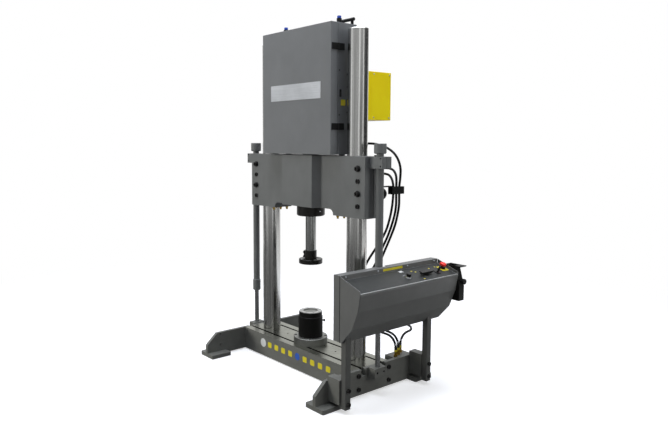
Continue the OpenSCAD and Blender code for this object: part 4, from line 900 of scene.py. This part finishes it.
overlayX = face + (console["overlayStart"] + console["overlay"][0] / 2) * down.x
holes = []
for control, reach in console["holes"].items():
    x, y = console[control]
    spot = ((x - overlayX) / down.x, y - console["middle"])
    holes.append(circle(reach, spot, 24)[::-1])
platePiece("deskOverlay", [onDesk(overlayX, console["middle"])], rounded(*console["overlay"]),
           deskPaint, "base", thickness=filmTop, edge=0.2, holes=holes)
turnedPiece("channelScrews", [onStrip(y) for y in console["stripScrewsY"]],
            panHead(*console["stripScrew"]), zincPlate, "base")
platePiece("channelLabel", [onStrip(console["labelY"])], rounded(*console["label"]),
           yellowFilm, "base", **sheetFilm)
platePiece("deskWhiteTag", [onDesk(*console["whiteTagPlace"], filmTop)],
           rounded(*console["whiteTag"]), whiteFilm, "base", **thinFilm)
platePiece("deskYellowTags", [onDesk(x, y, filmTop) for x, y in console["yellowTags"]],
           rounded(*console["yellowTag"]), yellowFilm, "base", **thinFilm)
outward = Matrix.Translation((console["markReach"] / 1000, 0, 0))
marks = [onDesk(*console["selector"], filmTop) @ Matrix.Rotation(math.radians(turn), 4, "Z") @ outward
         for turn in console["markTurns"]]
platePiece("selectorMarks", marks, rounded(*console["mark"]), whiteFilm, "base", **thinFilm)
stopX, stopY = console["stop"]
stopHole = circle(console["stopHole"], (-console["stopPlateShift"] / down.x, 0))[::-1]
platePiece("stopBackPlate", [onDesk(stopX + console["stopPlateShift"], stopY, filmTop)],
           rounded(*console["stopPlate"]), yellowFilm, "base", thickness=1.2, edge=0.4, holes=[stopHole])
# the lip is a thin bead in pale paint, a painted highlight along the desk's front fold
lipLine = [Vector((console["lipX"], y, console["lipZ"])) / 1000 for y in console["lipY"]]
lipRadii = [console["lipRadius"] / 1000] * len(lipLine)
lipRadii[0] = lipRadii[-1] = console["lipEndRadius"] / 1000
lipRings = ringsAlong(lipLine, lipRadii, console["lipSides"])
makeMesh("deskLip", lipRings, tubeFaces(len(lipLine), console["lipSides"]), foldEdgeHighlight, "base", smooth=50)
seamPlaces = [frameAt((console["seamX"], y, console["seamZ"]), (0, way, 0), (-way, 0, 0))
              for y, way in zip(console["seamY"], (-1, 1))]
platePiece("channelSeam", seamPlaces, rounded(*console["seam"]), nylonBlack, "base", thickness=0.5, edge=0.2)
print("console details made")


# floor, surroundings and lamps

studio = {
    "floorHeight": -0.1304, "floorReach": 14, "clothLift": 0.004,
    "fadeFrom": 1.6, "fadeTo": 3.4,     # metres from the middle over which the floor turns into plain white
    "floorGlow": 0.47,      # what the seen floor adds to the light that falls on it
    "floorBounce": "#7c7c7c",       # the floor's tone as light on the machine
    "skyTone": "#f4f7ff", "ambient": 0.2,      # the surroundings as light
    "cardGlow": 1.0,        # how bright metal sees the cards
}


def seenRays(tree):
    # 1 for what shows, straight or mirrored or through glass, and 0 for what only lights the machine
    ray = addNode(tree, "LightPath").outputs
    mirrored = calc(tree, "MAXIMUM", ray["Is Glossy Ray"], ray["Is Transmission Ray"])
    return calc(tree, "MAXIMUM", ray["Is Camera Ray"], mirrored)


def floorMaterial():
    # matt white sweep: white to the camera and in reflections, and it keeps the shadow under the machine
    material, tree, surface = emptyMaterial("mattWhiteSweep")
    seen = seenRays(tree)
    place = addNode(tree, "TexCoord").outputs["Object"]
    paper = tint(tree, None, grain(tree, place, 400, detail=3), ("#f1f1f1", "#f8f8f8"))
    lit = addNode(tree, "BsdfDiffuse", {}, {"Color": mixColour(tree, seen, studio["floorBounce"], paper)})
    glow = calc(tree, "MULTIPLY", seen, studio["floorGlow"])
    lift = addNode(tree, "Emission", {"Color": (1, 1, 1, 1)}, {"Strength": glow})
    near = addNode(tree, "AddShader", {}, {0: lit.outputs[0], 1: lift.outputs[0]})
    white = addNode(tree, "Emission", {"Color": (1, 1, 1, 1)}, {"Strength": seen})
    reach = addNode(tree, "VectorMath", {"operation": "LENGTH"}, {0: place}).outputs["Value"]
    fade = {"interpolation_type": "SMOOTHSTEP", "From Min": studio["fadeFrom"], "From Max": studio["fadeTo"]}
    far = addNode(tree, "MapRange", fade, {"Value": reach}).outputs[0]
    both = addNode(tree, "MixShader", {}, {0: far, 1: near.outputs[0], 2: white.outputs[0]})
    tree.links.new(both.outputs[0], surface)
    return material


half = studio["floorReach"]
floor = makeMesh("studioFloor", [(-half, -half, 0), (half, -half, 0), (half, half, 0), (-half, half, 0)],
                 [(0, 1, 2, 3)], floorMaterial(), None)
floor.location = (0, 0, studio["floorHeight"])

world = bpy.data.worlds.new("paleStudio")
scene.world = world
sky, skySurface = emptyTree(world, "OutputWorld")
soft = addNode(sky, "Background", {"Color": toLinear(studio["skyTone"]), "Strength": studio["ambient"]})
pale = addNode(sky, "Background", {"Color": (1, 1, 1, 1), "Strength": 1.0})
chosen = addNode(sky, "MixShader", {}, {0: seenRays(sky), 1: soft.outputs[0], 2: pale.outputs[0]})
sky.links.new(chosen.outputs[0], skySurface)

lamps = {      # place and target in metres, watts, width and height in metres, and if metal mirrors it
    "keySoftbox": {"spot": (-4.0, -5.9, 1.7), "target": (0, 0, 0.6), "power": 330, "size": (3.0, 2.4),
                   "colour": "#fffdf8"},
    "topSoftbox": {"spot": (0.2, -0.1, 3.7), "target": (0.1, 0, 0), "power": 150, "size": (3.2, 2.4),
                   "colour": "#eef3ff", "mirrored": True},
    "sideStrip": {"spot": (3.5, 0.9, 1.5), "target": (0.2, 0, 0.7), "power": 28, "size": (1.2, 1.6),
                  "colour": "#ffffff"},
}


def areaLamp(name, spot, target, power, size, colour, mirrored=False):
    data = bpy.data.lights.new(name, "AREA")
    data.shape = "RECTANGLE"
    data.size, data.size_y = size
    data.energy = power
    data.color = toLinear(colour)[:3]
    lamp = bpy.data.objects.new(name, data)
    scene.collection.objects.link(lamp)
    lamp.location = spot
    lamp.visible_glossy = mirrored      # a lamp that metal doesn't mirror leaves no hot band on the columns
    lamp.rotation_euler = (Vector(target) - Vector(spot)).to_track_quat("-Z", "Y").to_euler()


for lampName, values in lamps.items():
    areaLamp(lampName, **values)

cards = {      # middle of the lower edge, width and height in metres, lower and upper tone
    "frontFlag": {"spot": (1.6, -5.2, -0.1), "size": (8.5, 4.2), "tones": ("#a2a2a2", "#d2d2d2")},
    "leftFlag": {"spot": (-3.8, -2.2, -0.1), "size": (4.0, 3.8), "tones": ("#6c6c6c", "#bebebe")},
    "rightFlag": {"spot": (5.4, -0.4, -0.1), "size": (2.6, 3.8), "tones": ("#505050", "#d8d8d8")},
    "rearFlag": {"spot": (3.6, 4.9, -0.1), "size": (7.5, 3.8), "tones": ("#262626", "#5a5a5a")},
    "slimCard": {"spot": (4.9, -1.6, -0.1), "size": (0.4, 3.6), "tones": ("#a0a0a0", "#ffffff")},
    "floorCloth": {"spot": (0.6, -5.2, studio["floorHeight"] + studio["clothLift"]), "size": (9.0, 6.4),
                   "tones": ("#646464", "#747474"), "lying": True},
}


def metalCard(name, spot, size, tones, lying=False):
    # a grey card that only reflections see; it faces the machine, or lies on the floor and reaches backwards
    width, height = size
    material, tree, shader, place = startMaterial(name + "Cloth", "#000000", 0.9, shine=0.0)
    shader.inputs["Emission Strength"].default_value = studio["cardGlow"]
    rise = addNode(tree, "SeparateXYZ", {}, {0: place}).outputs[2]
    cloth = calc(tree, "ADD", vary(tree, rise, 0.0, 0.9, (0.0, height)),
                  calc(tree, "MULTIPLY", grain(tree, place, 300, detail=2), 0.1))
    tint(tree, shader, cloth, tones, (0.05, 0.95), "Emission Color")
    half = width / 2
    card = makeMesh(name, [(-half, 0, 0), (half, 0, 0), (half, 0, height), (-half, 0, height)],
                    [(0, 1, 2, 3)], material, None)
    card.location = spot
    facing = math.atan2(-spot[1], -spot[0]) + math.pi / 2
    card.rotation_euler = (-math.pi / 2, 0, 0) if lying else (0, 0, facing)
    for kind in ("camera", "diffuse", "transmission", "volume_scatter", "shadow"):
        setattr(card, "visible_" + kind, False)


for cardName, values in cards.items():
    metalCard(cardName, **values)
print("studio made")
